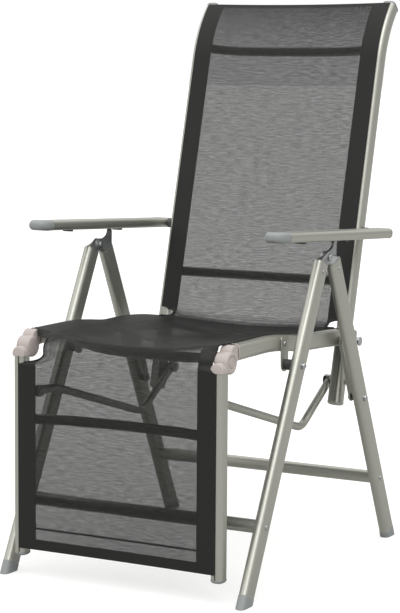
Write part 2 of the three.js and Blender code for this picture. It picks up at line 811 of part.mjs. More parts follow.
const seat = subGroup('seat');
addPair(seat, 'seat_rail', seatRail(), 'aluminium');
addPair(seat, 'seat_strap', seatStrap(), 'aluminium');
addPair(seat, 'seat_knuckle', seatKnuckle(), 'knuckle');
addPiece(seat, 'seat_front_stretcher', stretcher(
  { y: seatStretcherPlace, z: seatRailHeightAt(seatStretcherPlace) + seatStretcherRise },
  frontHalfSpan - railWidth / 2 - seatGap, { y: 0, z: -seatStretcherDrop },
), 'aluminium');

// Back
const headrestLength = headrestRadius * radians(headrestBend);

function backStations(from) {
  const stations = [from, backStraight];
  for (let step = 1; step <= bendSteps; step += 1) {
    stations.push(backStraight + headrestLength * step / bendSteps);
  }
  return stations;
}

const railSection = roundedSection(railWidth, railDepth, railRound);
const railBore = roundedSection(railWidth - 2 * railWall, railDepth - 2 * railWall, railRound - railWall);

function backRail() {
  const points = backStations(-backTail).map((along) => sidePoint(backHalfSpan, onBack(along, 0)));
  const inner = backHalfSpan - railWidth;
  const outer = backHalfSpan + railWidth;
  return cut(
    tube(points, railSection, railBore, xAxis),
    rod(inner, outer, backPinRadius + boreGap, backPivot),
    rod(inner, outer, boltRadius + boreGap, linkPin),
    rod(inner, outer, boltRadius + boreGap, armPivot),
  );
}

// Fabric: a thin closed sheet through stations, slack in the middle
function sheet(stations) {
  const rows = stations.length;
  const vertices = [];
  const triangles = [];
  const columns = sheetColumns;
  for (let side = 0; side < 2; side += 1) {
    stations.forEach(({ y, z, half, sag }, row) => {
      const before = stations[Math.max(row - 1, 0)];
      const after = stations[Math.min(row + 1, rows - 1)];
      const along = new THREE.Vector2(after.y - before.y, after.z - before.z).normalize();
      const under = new THREE.Vector2(along.y, -along.x);
      for (let column = 0; column <= columns; column += 1) {
        const share = 2 * (column - 1) / (columns - 2) - 1;
        const edge = column === 0 || column === columns;
        const x = edge ? Math.sign(share) * half : share * (half - fabricOnRail);
        const slack = edge ? 0 : sag * (1 - share * share);
        const depth = slack + side * fabricThickness;
        vertices.push(x, y + under.x * depth, z + under.y * depth);
      }
    });
  }
  const index = (side, row, column) => (side * rows + row) * (columns + 1) + column;
  const quad = (a, b, c, d) => triangles.push(a, b, c, a, c, d);
  for (let row = 0; row < rows - 1; row += 1) {
    for (let column = 0; column < columns; column += 1) {
      quad(index(0, row, column), index(0, row, column + 1),
        index(0, row + 1, column + 1), index(0, row + 1, column));
      quad(index(1, row, column), index(1, row + 1, column),
        index(1, row + 1, column + 1), index(1, row, column + 1));
    }
    quad(index(0, row, columns), index(1, row, columns),
      index(1, row + 1, columns), index(0, row + 1, columns));
    quad(index(0, row + 1, 0), index(1, row + 1, 0), index(1, row, 0), index(0, row, 0));
  }
  for (let column = 0; column < columns; column += 1) {
    quad(index(0, 0, column + 1), index(0, 0, column), index(1, 0, column), index(1, 0, column + 1));
    const last = rows - 1;
    quad(index(0, last, column), index(0, last, column + 1),
      index(1, last, column + 1), index(1, last, column));
  }
  const geometry = new THREE.BufferGeometry();
  geometry.setAttribute('position', new THREE.Float32BufferAttribute(vertices, 3));
  geometry.setIndex(triangles);
  return geometry;
}

const fabricLift = railDepth / 2 + seatGap + fabricThickness;

function backFabric() {
  const stations = backStations(backFabricHem).map((along) => ({
    ...onBack(along, -fabricLift), half: fabricHalf, sag: 0,
  }));
  const middle = [];
  for (let step = 1; step < bendSteps; step += 1) {
    const along = THREE.MathUtils.lerp(backFabricHem, backStraight, step / bendSteps);
    middle.push({ ...onBack(along, -fabricLift), half: fabricHalf, sag: 0 });
  }
  return sheet([stations[0], ...middle, ...stations.slice(1)]);
}

const back = subGroup('back');
addPair(back, 'back_rail', backRail(), 'aluminium');
const backInner = backHalfSpan - railWidth / 2 - seatGap;
const upperPlace = onBack(backUpperAlong, 0);
const upperBehind = onBack(backUpperAlong, 1);
addPiece(back, 'back_upper_stretcher', stretcher(upperPlace, backInner, {
  y: (upperBehind.y - upperPlace.y) * backUpperBow, z: (upperBehind.z - upperPlace.z) * backUpperBow,
}), 'aluminium');
addPiece(back, 'back_lower_stretcher',
  straightBar(onBack(backLowerAlong, 0), backInner, stretcherRadius, stretcherWall), 'aluminium');
addPiece(back, 'back_sling', backFabric(), 'fabric');

// Back pivot pin: through the back rail and the flattened seat rail, with a rimmed boss outside
const pivots = subGroup('pivots');
const backPinInner = backHalfSpan - railWidth / 2 - seatGap;
const backPinOuter = rearHalfSpan + flatWidth / 2 + runningGap;
const backPinEnd = backPinOuter + backPinBoss;
const backBush = [backHalfSpan - backBushLength / 2, backHalfSpan + backBushLength / 2];
const backWasher = [
  backHalfSpan + railWidth / 2 + runningGap, rearHalfSpan - flatWidth / 2 - runningGap,
];
addPair(pivots, 'back_pivot_pin', turnedAt([
  [backPinInner - boltHeadHeight, backPinHeadRadius], [backPinInner, backPinHeadRadius],
  [backPinInner, backPinRadius], [backBush[0], backPinRadius],
  [backBush[0], backBushRadius], [backBush[1], backBushRadius],
  [backBush[1], backPinRadius], [backWasher[0], backPinRadius],
  [backWasher[0], backWasherRadius], [backWasher[1], backWasherRadius],
  [backWasher[1], backPinRadius], [backPinOuter, backPinRadius],
  [backPinOuter, backPinBossRadius], [backPinEnd, backPinBossRadius],
  [backPinEnd, backPinRimRadius], [backPinEnd + backPinRim, backPinRimRadius],
], backPivot), 'steel');
addPair(pivots, 'knee_pin', turnedAt([
  [kneeInner + seatGap, kneePinRadius], [tongueX[0], kneePinRadius],
  [tongueX[0], kneeDrumRadius], [tongueX[1], kneeDrumRadius],
  [tongueX[1], kneePinRadius], [kneeOuter - kneePinInset, kneePinRadius],
], kneePivot), 'steel');
const linkHead = linkMiddle - linkEyeWidth / 2 - runningGap;
const linkNut = backHalfSpan + railWidth / 2 + seatGap;
addPair(pivots, 'link_pin', turnedAt([
  [linkHead - linkHeadHeight, linkHeadRadius], [linkHead, linkHeadRadius],
  [linkHead, boltRadius], [linkNut, boltRadius],
  [linkNut, nutRadius], [linkNut + nutHeight, nutRadius],
], linkPin), 'steel');

// Footrest: rails hang from the lower knuckles, which turn on the knee pins
const footLean = radians(footRailLean);

function onFootRail(height, behind) {
  return {
    y: kneePivot.y - footRailAhead - (footRailTop - height) * Math.tan(footLean) + behind,
    z: height,
  };
}

const footSection = roundedSection(footRailWidth, footRailDepth, railRound);
const footBore = roundedSection(
  footRailWidth - 2 * railWall, footRailDepth - 2 * railWall, railRound - railWall,
);

function footPost(from, to, section, bore) {
  return tube([from, to].map((z) => sidePoint(frontHalfSpan, onFootRail(z, 0))), section, bore, xAxis);
}

// Upright plate with a half-round top, seen from the front
function archPlate(middleX, halfWidth, fromY, toY, top) {
  const round = new THREE.CylinderGeometry(halfWidth, halfWidth, toY - fromY, 2 * roundSteps);
  round.translate(middleX, (fromY + toY) / 2, top - halfWidth);
  return join(round, block(
    middleX - halfWidth, middleX + halfWidth, fromY, toY, footRailTop - kneeRadius, top - halfWidth,
  ));
}

// Lower knuckle: a plug in the rail, an arched front, and a barrel that is open behind for the tongue
function footKnuckle() {
  const low = footRailTop + seatGap;
  const arch = archPlate(
    frontHalfSpan, footRailWidth / 2, kneePivot.y - footRailAhead - footRailDepth, kneePivot.y,
    kneePivot.z + kneeArchRise,
  );
  const post = common(footPost(low, kneePivot.z + kneeRadius, footSection), arch);
  const plug = footPost(footRailTop - kneePlug, low + kneeWall, plugIn(footRailWidth, footRailDepth));
  const slot = [tongueX[0] - runningGap, tongueX[1] + runningGap];
  return cut(
    join(rod(kneeInner, kneeOuter, kneeRadius, kneePivot), post, plug),
    rod(...slot, clearing(tongueRadius), kneePivot),
    block(
      ...slot, kneePivot.y - kneeSlotReach, kneePivot.y + 2 * kneeRadius,
      kneePivot.z - 2 * kneeRadius, kneePivot.z + 2 * kneeRadius,
    ),
    rod(kneeInner - overrun, kneeOuter - kneePinInset + boreGap, kneePinRadius + boreGap, kneePivot),
  );
}

const footFabricLift = footRailDepth / 2 + seatGap + fabricThickness;
const footFabricEnd = footRailTop - footFabricTop;

function footFabric() {
  const stations = [];
  for (let step = 0; step <= bendSteps; step += 1) {
    const height = THREE.MathUtils.lerp(footFabricHem, footFabricEnd, step / bendSteps);
    stations.push({ ...onFootRail(height, -footFabricLift), half: fabricHalf, sag: footSag });
  }
  return sheet(stations);
}

const footrest = subGroup('footrest');
const footInner = frontHalfSpan - footRailWidth / 2 - seatGap;
addPair(footrest, 'foot_rail', footPost(footRailFoot, footRailTop, footSection, footBore), 'aluminium');
addPair(footrest, 'foot_knuckle', footKnuckle(), 'knuckle');
addPiece(footrest, 'foot_upper_stretcher',
  stretcher(onFootRail(footUpperHeight, 0), footInner, { y: footUpperBow, z: 0 }), 'aluminium');
addPiece(footrest, 'foot_lower_stretcher',
  straightBar(onFootRail(footLowerHeight, 0), footInner, stretcherRadius, stretcherWall), 'aluminium');
addPiece(footrest, 'footrest_sling', footFabric(), 'fabric');

// Seat fabric: over the rails, narrower between the knuckles, and rolled down over the front
function seatFabric() {
  const stations = [];
  const neckRear = seatRailFront + neckLength;
  const faceY = onFootRail(footRailTop, -footFabricLift).y;
  const topZ = seatRailHeight + fabricLift;
  const centre = { y: faceY + frontRoll, z: topZ - frontRoll };
  const lowest = footFabricEnd + kneeFabricGap;
  stations.push({ y: faceY, z: lowest, half: neckHalf, sag: footSag });
  for (let step = 0; step <= bendSteps; step += 1) {
    const angle = Math.PI - (Math.PI / 2) * step / bendSteps;
    const share = step / bendSteps;
    stations.push({
      y: centre.y + frontRoll * Math.cos(angle), z: centre.z + frontRoll * Math.sin(angle),
      half: neckHalf, sag: THREE.MathUtils.lerp(footSag, seatSag / 2, share),
    });
  }
  const rearY = backPivot.y - seatFabricRear;
  stations.push({ y: neckRear - fabricThickness, z: topZ, half: neckHalf, sag: seatSag });
  const bends = seatRailPlaces.map((place) => place.y).filter((y) => y > neckRear && y < rearY);
  [neckRear, ...bends, rearY].forEach((y) => {
    const sag = THREE.MathUtils.mapLinear(y, neckRear, rearY, seatSag, seatRearSag);
    stations.push({ y, z: seatRailHeightAt(y) + fabricLift, half: fabricHalf, sag });
  });
  return sheet(stations);
}

addPiece(seat, 'seat_sling', seatFabric(), 'fabric');

// Path with its inner corners rounded off
function roundedPath(corners, radius) {
  const points = [corners[0]];
  corners.slice(1, -1).forEach((corner, place) => {
    const toFront = corners[place].clone().sub(corner).normalize();
    const toRear = corners[place + 2].clone().sub(corner).normalize();
    const half = Math.acos(toFront.dot(toRear)) / 2;
    const centre = toFront.clone().add(toRear).normalize()
      .multiplyScalar(radius / Math.sin(half)).add(corner);
    const start = corner.clone().addScaledVector(toFront, radius / Math.tan(half)).sub(centre);
    const end = corner.clone().addScaledVector(toRear, radius / Math.tan(half)).sub(centre);
    const spread = start.angleTo(end);
    for (let step = 0; step <= bendSteps; step += 1) {
      const from = Math.sin((1 - step / bendSteps) * spread) / Math.sin(spread);
      const to = Math.sin((step / bendSteps) * spread) / Math.sin(spread);
      points.push(start.clone().multiplyScalar(from).addScaledVector(end, to).add(centre));
    }
  });
  points.push(corners[corners.length - 1]);
  return points;
}

// Footrest link: a bent tube with a flat eye at each end, beside the rails' inner faces
function link() {
  const below = ({ y, z }) => new THREE.Vector3(linkMiddle, linkDrop.y + y, linkDrop.z - z);
  const path = roundedPath(
    [sidePoint(linkMiddle, linkDrop), below(linkCrank), below(linkBend), sidePoint(linkMiddle, linkPin)],
    linkBendRadius,
  );
  const bar = tube(path, circleSection(linkRadius), undefined, xAxis);
  const eyeX = [linkMiddle - linkEyeWidth / 2, linkMiddle + linkEyeWidth / 2];
  const eyes = [linkDrop, linkPin].map((place) => rod(...eyeX, linkEyeRadius, place));
  const stub = rod(linkMiddle, frontHalfSpan - footRailWidth / 2 - runningGap, boltRadius, linkDrop);
  const rivet = turnedAt([
    [eyeX[0] - boltHeadHeight / 2, boltRadius], [eyeX[0], boltHeadRadius],
    [linkMiddle, boltHeadRadius],
  ], linkDrop);
  const hole = rod(eyeX[0] - linkRadius, eyeX[1] + linkRadius, boltRadius + boreGap, linkPin);
  const faces = [linkDrop, linkPin].flatMap((place) => [
    rod(eyeX[1], eyeX[1] + linkRadius, clearing(linkEyeRadius), place),
    rod(eyeX[0] - linkRadius, eyeX[0], clearing(linkEyeRadius), place),
  ]);
  return join(cut(join(bar, ...eyes), ...faces, hole), stub, rivet);
}

const links = subGroup('links');
addPair(links, 'footrest_link', link(), 'aluminium');

// Armrests: built level with the pivot as origin, then tilted to lie on the fin
function armTube() {
  const section = roundedSection(armWidth, armThickness, armRound);
  const bore = roundedSection(armWidth - 2 * armWall, armThickness - 2 * armWall, armBoreRound);
  const ends = [-armFront, armRear].map((y) => new THREE.Vector3(0, y, 0));
  const slot = block(
    -armSlot / 2, armSlot / 2, -armFront - overrun, armRear + overrun,
    -armThickness / 2 - overrun, -armThickness / 2 + armWall + overrun,
  );
  const wall = [-armWidth / 2 - overrun, -armWidth / 4];
  const hole = rod(...wall, boltRadius + boreGap, { y: 0, z: 0 });
  return cut(tube(ends, section, bore, xAxis), slot, hole);
}

// Nose: the tube's section drawn in like an ellipsoid, with a spigot in the tube
function armNose() {
  const start = -armFront - seatGap;
  const turnEnd = Math.acos(noseTipShare);
  const stations = [];
  for (let step = 0; step <= roundSteps / 2; step += 1) {
    const angle = turnEnd * step / (roundSteps / 2);
    const share = Math.cos(angle);
    stations.push({
      at: new THREE.Vector3(0, start - noseLength * Math.sin(angle) / Math.sin(turnEnd), 0),
      ahead: new THREE.Vector3(0, -1, 0),
      outer: roundedSection(armWidth * share, armThickness * share, armRound * share),
    });
  }
  const spigotHalf = armWidth / 2 - armRound;
  const spigotHigh = armThickness / 2 - armWall - seatGap;
  const spigot = block(
    -spigotHalf, spigotHalf, start - noseLength * noseTipShare, start + noseSpigot, -spigotHigh, spigotHigh,
  );
  return join(sweep(stations, xAxis), spigot);
}

function armRack() {
  const top = armThickness / 2 - armWall - seatGap;
  const tips = -armThickness / 2 + rackInset;
  const length = rackFront - rackRear;
  const pitch = (length - 2 * rackFootLength) / rackTeeth;
  const outline = [
    new THREE.Vector2(-rackRear, top),
    new THREE.Vector2(-rackFront, top),
    new THREE.Vector2(-rackFront, tips - rackFootDrop),
    new THREE.Vector2(-rackFront + rackFootLength, tips - rackFootDrop),
  ];
  for (let tooth = 0; tooth < rackTeeth; tooth += 1) {
    const start = -rackFront + rackFootLength + tooth * pitch;
    outline.push(new THREE.Vector2(start, tips + rackToothDepth));
    outline.push(new THREE.Vector2(start + pitch / 2, tips + rackToothDepth));
    outline.push(new THREE.Vector2(start + pitch / 2, tips));
    outline.push(new THREE.Vector2(start + pitch, tips));
  }
  outline.push(new THREE.Vector2(-rackRear - rackFootLength, tips - rackFootDrop));
  outline.push(new THREE.Vector2(-rackRear, tips - rackFootDrop));
  return sidePlate(outline, -rackWidth / 2, rackWidth / 2);
}

function armBolt() {
  const inner = -armWidth / 2;
  const railFace = inner - armSpacing;
  const headX = railFace - railWidth - seatGap;
  const bush = railFace - railWidth / 2;
  const wallEnd = inner + armWall + seatGap;
  return turned([
    [headX - boltHeadHeight, boltHeadRadius / 2], [headX - boltHeadHeight / 2, boltHeadRadius],
    [headX, boltHeadRadius], [headX, boltRadius], [bush - armBushLength / 2, boltRadius],
    [bush - armBushLength / 2, armBushRadius], [bush + armBushLength / 2, armBushRadius],
    [bush + armBushLength / 2, boltRadius], [railFace + runningGap, boltRadius],
    [railFace + runningGap, spacerRadius], [inner - runningGap, spacerRadius],
    [inner - runningGap, boltRadius], [wallEnd, boltRadius],
    [wallEnd, armNutRadius], [wallEnd + nutHeight, armNutRadius],
  ]);
}

['left', 'right'].forEach((side) => {
  const hand = (geometry) => (side === 'left' ? geometry : mirrored(geometry));
  const armrest = subGroup(`armrest_${side}`);
  armrest.position.set(side === 'left' ? legHalfSpan : -legHalfSpan, armPivot.y, armPivot.z);
  armrest.rotation.x = -armTilt;
  addPiece(armrest, `armrest_${side}`, hand(armTube()), 'aluminium');
  addPiece(armrest, `armrest_nose_${side}`, hand(armNose()), 'nose');
  addPiece(armrest, `armrest_rack_${side}`, hand(armRack()), 'darkPlastic');
  addPiece(armrest, `arm_bolt_${side}`, hand(armBolt()), 'steel');
});

// The origin goes to the middle of the chair's box, on the floor
chair.updateMatrixWorld(true);
const bounds = new THREE.Box3().setFromObject(chair, true);
const middle = bounds.getCenter(new THREE.Vector3());
chair.position.set(-middle.x, -middle.y, -bounds.min.z);

export default chair;
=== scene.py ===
# %% [markdown]
# # A folding garden chair with a footrest
#
# We dress a chair made of metal tube and one long piece of mesh cloth. Another program
# has already made its frame, and that model fixes every size and every joint. This
# lesson adds what makes it look real: smooth tubes, castings, screws, cloth and finishes.
# All lengths are metres. The floor is z = 0, and the sitter faces -Y.

import json
import math

import bpy
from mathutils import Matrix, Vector, geometry

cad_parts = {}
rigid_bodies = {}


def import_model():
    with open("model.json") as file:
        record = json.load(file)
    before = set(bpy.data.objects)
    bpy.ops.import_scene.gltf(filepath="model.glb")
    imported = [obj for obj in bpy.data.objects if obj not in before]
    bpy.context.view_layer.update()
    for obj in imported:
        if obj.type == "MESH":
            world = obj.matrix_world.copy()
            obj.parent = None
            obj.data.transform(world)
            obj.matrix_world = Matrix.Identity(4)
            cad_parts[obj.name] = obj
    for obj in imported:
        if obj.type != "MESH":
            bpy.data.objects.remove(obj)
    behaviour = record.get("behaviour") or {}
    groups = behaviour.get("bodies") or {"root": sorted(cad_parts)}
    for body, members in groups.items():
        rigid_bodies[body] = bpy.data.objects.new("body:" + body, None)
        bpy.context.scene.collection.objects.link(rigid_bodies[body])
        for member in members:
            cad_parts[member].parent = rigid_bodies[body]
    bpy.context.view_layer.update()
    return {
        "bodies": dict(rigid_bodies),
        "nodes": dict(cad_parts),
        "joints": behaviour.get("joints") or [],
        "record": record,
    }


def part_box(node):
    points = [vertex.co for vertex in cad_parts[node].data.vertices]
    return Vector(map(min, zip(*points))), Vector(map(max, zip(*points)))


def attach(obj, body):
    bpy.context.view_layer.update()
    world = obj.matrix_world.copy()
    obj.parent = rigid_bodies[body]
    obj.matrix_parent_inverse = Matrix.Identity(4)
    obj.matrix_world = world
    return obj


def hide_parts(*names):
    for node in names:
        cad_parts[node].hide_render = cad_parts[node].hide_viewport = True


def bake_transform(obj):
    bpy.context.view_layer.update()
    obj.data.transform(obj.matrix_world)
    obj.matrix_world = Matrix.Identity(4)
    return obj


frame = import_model()

# %% [markdown]
# ## Names for the places we need
#
# The chair turns about seven places on each side. The frame knows where they are, so we
# look them up and never type them. A millimetre gets a name, because small metal parts
# are easier to think of in millimetres.

# %% Pivots and feet
MM = 0.001
X = Vector((1, 0, 0))
Z = Vector((0, 0, 1))

pivot = {joint["name"]: Vector(joint["pos_m"]) for joint in frame["joints"]}
hinge = pivot["fold"]
seat_pivot = pivot["seat_fold"]
strut_foot = pivot["strut_left_fold"]
back_pivot = pivot["recline"]
knee = pivot["knee_fold"]
arm_pivot = pivot["armrest_left_fold"]
link_pin = pivot["link_left_recline"]
feet = {mount["name"]: Vector(mount["pos_m"]) for mount in frame["record"]["mounts"]}


def span(node, axis):
    """Lowest and highest value of a CAD piece along one axis: 0 is X, 1 is Y, 2 is Z."""
    low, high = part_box(node)
    return low[axis], high[axis]


def middle(node, axis):
    return sum(span(node, axis)) / 2


leg_x = feet["front_foot_left"].x
back_x = middle("back_rail_left", 0)
front_x = middle("foot_rail_left", 0)
print("middle lines, mm:", [round(x / MM, 1) for x in (leg_x, back_x, front_x)])

# %% [markdown]
# ## One way to write colours, and one way to add a node
#
# We write a colour as it looks on a screen, and one function turns it into the linear
# values that Blender shades with. Another small function adds a node to a material. Each
# input it gets is a plain value, or the output of another node, which it links.

# %% Colours and nodes
def linear(code):
    channels = [int(code[start:start + 2], 16) / 255 for start in (0, 2, 4)]
    return [
        c / 12.92 if c <= 0.04045 else ((c + 0.055) / 1.055) ** 2.4 for c in channels
    ] + [1]


def add_node(tree, kind, settings=None, inputs=None):
    node = tree.nodes.new(kind)
    for name, value in (settings or {}).items():
        setattr(node, name, value)
    for name, value in (inputs or {}).items():
        if isinstance(value, bpy.types.NodeSocket):
            tree.links.new(value, node.inputs[name])
        else:
            node.inputs[name].default_value = value
    return node


print("middle grey, 808080, is", round(linear("808080")[0], 3), "in linear light")

# %% [markdown]
# ## A finish, and the small unevenness that no real one lacks
#
# Every finish is one Principled shader. A surface of one even gloss looks like a
# computer's, so metals and plastics get a fine noise: it moves the gloss a little and
# lifts the surface by hundredths of a millimetre. The size of its grains is a real one.

# %% A new finish
GLOSS_SPREAD = 0.06


def new_material(name, inputs):
    """A material with one Principled shader. Returns the material and that shader."""
    material = bpy.data.materials.new(name)
    material.use_nodes = True
    tree = material.node_tree
    tree.nodes.clear()
    shader = add_node(tree, "ShaderNodeBsdfPrincipled", inputs=inputs)
    add_node(tree, "ShaderNodeOutputMaterial", inputs={"Surface": shader.outputs[0]})
    return material, shader


def uneven_surface(shader, grain, height, roughness):
    """Noise with grains of a real size. The object's own coordinates keep it in place."""
    tree = shader.id_data
    place_on = add_node(tree, "ShaderNodeTexCoord")
    noise = add_node(tree, "ShaderNodeTexNoise", inputs={
        "Scale": 1 / grain, "Detail": 2.0, "Vector": place_on.outputs["Object"],
    })
    gloss = add_node(tree, "ShaderNodeMapRange", inputs={
        "Value": noise.outputs[0],
        "To Min": roughness - GLOSS_SPREAD, "To Max": roughness + GLOSS_SPREAD,
    })
    bump = add_node(tree, "ShaderNodeBump", inputs={
        "Distance": height, "Height": noise.outputs[0],
    })
    tree.links.new(gloss.outputs[0], shader.inputs["Roughness"])
    tree.links.new(bump.outputs[0], shader.inputs["Normal"])


print("gloss varies by", GLOSS_SPREAD, "either way")

# %% [markdown]
# ## Metals
#
# The tubes are aluminium, extruded or rolled, with a champagne powder coat. The brackets
# at the hinge are die cast and lacquered. Screws, bolts and pins are steel, cold headed
# and zinc plated. Coated metal isn't bare: the coat hides part of the shine, so Metallic
# stays a little under 1, while plated steel keeps it.

# %% Metal finishes
POWDER_GRAIN, CAST_GRAIN, PLATING_GRAIN = 3 * MM, 2 * MM, 1.5 * MM
POWDER_HEIGHT, CAST_HEIGHT, PLATING_HEIGHT = 0.01 * MM, 0.03 * MM, 0.01 * MM

# Powder coat over extruded tube: wide soft highlights along each tube, warm in tone
aluminium, coat = new_material("champagne coated aluminium", {
    "Base Color": linear("b6b6ae"), "Metallic": 0.85,
})
uneven_surface(coat, POWDER_GRAIN, POWDER_HEIGHT, 0.42)

# Die casting with a thin lacquer: a little darker and cooler than the tubes, and blotchy
casting, lacquer = new_material("satin die casting", {
    "Base Color": linear("a8aaab"), "Metallic": 0.9,
})
uneven_surface(lacquer, CAST_GRAIN, CAST_HEIGHT, 0.4)

# Bright zinc on smooth steel: the only sharp sparkles on the chair
steel, plating = new_material("zinc plated steel", {
    "Base Color": linear("b4b6b8"), "Metallic": 1.0,
})
uneven_surface(plating, PLATING_GRAIN, PLATING_HEIGHT, 0.25)
print("metals:", [metal.name for metal in (aluminium, casting, steel)])

# %% [markdown]
# ## Plastics
#
# Knuckles, armrest ends and caps are injection moulded polypropylene, and spacers are
# nylon. Their moulds are spark eroded, which leaves a fine matt grain of a tenth of a
# millimetre. That is too fine to show here, so it is drawn ten times as coarse.

# %% Plastic finishes
MOULD_GRAIN, MOULD_HEIGHT = 1 * MM, 0.02 * MM

# Warm and cool greys with a broad dull sheen, and a nylon that is nearly black
knuckle_plastic, knuckle_skin = new_material("warm grey polypropylene", {
    "Base Color": linear("b4aaa6"),
})
nose_plastic, nose_skin = new_material("cool grey polypropylene", {
    "Base Color": linear("8c9090"),
})
dark_plastic, nylon_skin = new_material("dark grey nylon", {
    "Base Color": linear("434342"),
})
for skin, roughness in ((knuckle_skin, 0.38), (nose_skin, 0.4), (nylon_skin, 0.45)):
    uneven_surface(skin, MOULD_GRAIN, MOULD_HEIGHT, roughness)
print("plastics:", [plastic.name for plastic in (knuckle_plastic, nose_plastic, dark_plastic)])

# %% [markdown]
# ## Fabrics
#
# The mesh is polyester yarn coated with PVC, woven and then set by heat, so each yarn has
# a weak plastic sheen. The tape round its cut-outs is woven polyester without a coat: it
# is darker, and quite matt. The holes of the mesh come later, once the cloth exists.
#
# The frame's own pieces get their finishes here too, by the slot names of the frame.

# %% Fabric finishes, and finishes for the frame's pieces
binding_cloth, _ = new_material("woven edge tape", {
    "Base Color": linear("161615"), "Roughness": 0.7,
})
mesh_cloth, mesh_shader = new_material("coated mesh cloth", {
    "Base Color": linear("1e1e1d"), "Roughness": 0.55, "Specular IOR Level": 0.3,
})
finishes = {
    "aluminium": aluminium, "casting": casting, "steel": steel,
    "knuckle_plastic": knuckle_plastic, "nose_plastic": nose_plastic,
    "dark_plastic": dark_plastic, "fabric": mesh_cloth,
}
slots = {part["node"]: part["material_slot"] for part in frame["record"]["subparts"]}
for name, node in frame["nodes"].items():
    node.data.materials.clear()
    node.data.materials.append(finishes[slots[name]])
print("pieces of the frame with a finish:", len(slots))

# %% [markdown]
# ## Outlines
#
# Nearly every piece of this chair is an outline drawn along a line. A tube is a rounded
# rectangle swept along a path, a bolt is a circle that changes size along X, and a lug is
# a flat outline with some thickness. So we first make outlines and smooth lines.

# %% Outlines
def rounded_rect(width, depth, radius, steps=6):
    points = []
    for corner, (sx, sy) in enumerate(((1, 1), (-1, 1), (-1, -1), (1, -1))):
        for step in range(steps + 1):
            angle = (corner + step / steps) * math.pi / 2
            points.append((
                sx * (width / 2 - radius) + radius * math.cos(angle),
                sy * (depth / 2 - radius) + radius * math.sin(angle),
            ))
    return points


def circle(radius, steps=28):
    turns = [2 * math.pi * step / steps for step in range(steps)]
    return [(radius * math.cos(turn), radius * math.sin(turn)) for turn in turns]


def arc(centre, radius, start, end, steps=8):
    """Points round a centre in the side view, with angles in degrees from +Y towards +Z."""
    angles = [math.radians(start + (end - start) * step / steps) for step in range(steps + 1)]
    return [(centre[0] + radius * math.cos(a), centre[1] + radius * math.sin(a)) for a in angles]


def belt(*circles):
    """Outline of a belt laid round circles, each given as y, z and radius."""
    points = [Vector(p) for y, z, radius in circles for p in arc((y, z), radius, 0, 360, 48)]
    return [tuple(points[index]) for index in geometry.convex_hull_2d(points)]


def ease(t):
    return t * t * (3 - 2 * t)


def mix(a, b, t):
    return a + (b - a) * t


def clamp(t):
    return min(max(t, 0), 1)


print("points in a rounded rectangle:", len(rounded_rect(20 * MM, 40 * MM, 9 * MM)))

# %% [markdown]
# ## Smooth lines
#
# The seat rail rises, dips and turns outward without a corner. This kind of curve passes
# through every point that we give it, which suits a rail known by a few measured places.

# %% A smooth line through points
def spline(points, steps=6):
    """Smooth curve through points. Each point is a tuple of any length."""
    curve = []
    for index in range(len(points) - 1):
        before, here = points[max(index - 1, 0)], points[index]
        there, after = points[index + 1], points[min(index + 2, len(points) - 1)]
        for step in range(steps):
            t = step / steps
            curve.append(tuple(
                b + 0.5 * t * (c - a + t * (2 * a - 5 * b + 4 * c - d + t * (3 * (b - c) + d - a)))
                for a, b, c, d in zip(before, here, there, after)
            ))
    return curve + [tuple(points[-1])]


halfway = spline([(0, 0), (1, 1), (2, 1), (3, 0)])[9]
print("a curve through two points at height 1 rises to", round(halfway[1], 3), "between them")

# %% [markdown]
# ## Solids
#
# Each function returns points and faces instead of an object. Shapes can then be merged
# and mirrored before they become an object, and one mould serves both sides of the chair.

# %% Solids
def sweep(path, outlines, across=X, ahead=None):
    """Solid along a path. Outlines is one outline for each point of the path."""
    last = len(path) - 1
    points, faces = [], []
    for ring, centre in enumerate(path):
        tangent = ahead or (path[min(ring + 1, last)] - path[max(ring - 1, 0)]).normalized()
        side = (across - tangent * across.dot(tangent)).normalized()
        over = tangent.cross(side)
        points += [centre + side * a + over * b for a, b in outlines[ring]]
    count = len(outlines[0])
    for ring in range(last):
        for start in range(count):
            a, b = ring * count + start, ring * count + (start + 1) % count
            faces.append((a, b, b + count, a + count))
    faces.append(tuple(reversed(range(count))))
    faces.append(tuple(last * count + start for start in range(count)))
    return points, faces


def bar(path, outline, across=X):
    return sweep(path, [outline] * len(path), across)


def lathe(profile, place_at, steps=28):
    """Turned solid on an axis along X. The profile is a list of x and radius."""
    path = [Vector((x, *place_at.yz)) for x, _ in profile]
    outlines = [circle(max(radius, MM / 100), steps) for _, radius in profile]
    return sweep(path, outlines, across=Z, ahead=X)


def head(base, height, radius, steps=5):
    """Profile of a round head that stands on x = base and bulges by height, either way."""
    turns = [math.pi / 2 * step / steps for step in range(steps + 1)]
    dome = [(base + height * (0.3 + 0.7 * math.sin(t)), radius * math.cos(t)) for t in turns]
    return sorted([(base, radius)] + dome)


def plate(outline, low, high):
    """Flat piece between two values of X. The outline is y and z, counterclockwise."""
    count = len(outline)
    points = [Vector((x, y, z)) for x in (low, high) for y, z in outline]
    faces = [tuple(reversed(range(count))), tuple(range(count, 2 * count))]
    for start in range(count):
        after = (start + 1) % count
        faces.append((start, after, after + count, start + count))
    return points, faces


def merge(*shapes):
    points, faces = [], []
    for more_points, more_faces in shapes:
        faces += [tuple(index + len(points) for index in face) for face in more_faces]
        points += more_points
    return points, faces


def mirror(shape):
    points, faces = shape
    return [Vector((-p.x, p.y, p.z)) for p in points], [tuple(reversed(f)) for f in faces]


print("faces on a turned head:", len(lathe(head(0, 3 * MM, 5 * MM), Vector())[1]))

# %% [markdown]
# ## From a shape to a piece of the chair
#
# A piece rides on one of the frame's bodies, so it moves when that body turns. It may also
# stand for pieces of the frame, which then hide. Faces that meet at a small angle are
# shaded smooth. Sharper edges stay sharp, or get a narrow bevel that catches the light.

# %% Objects
CREASE, TUBE_CREASE = 38, 50


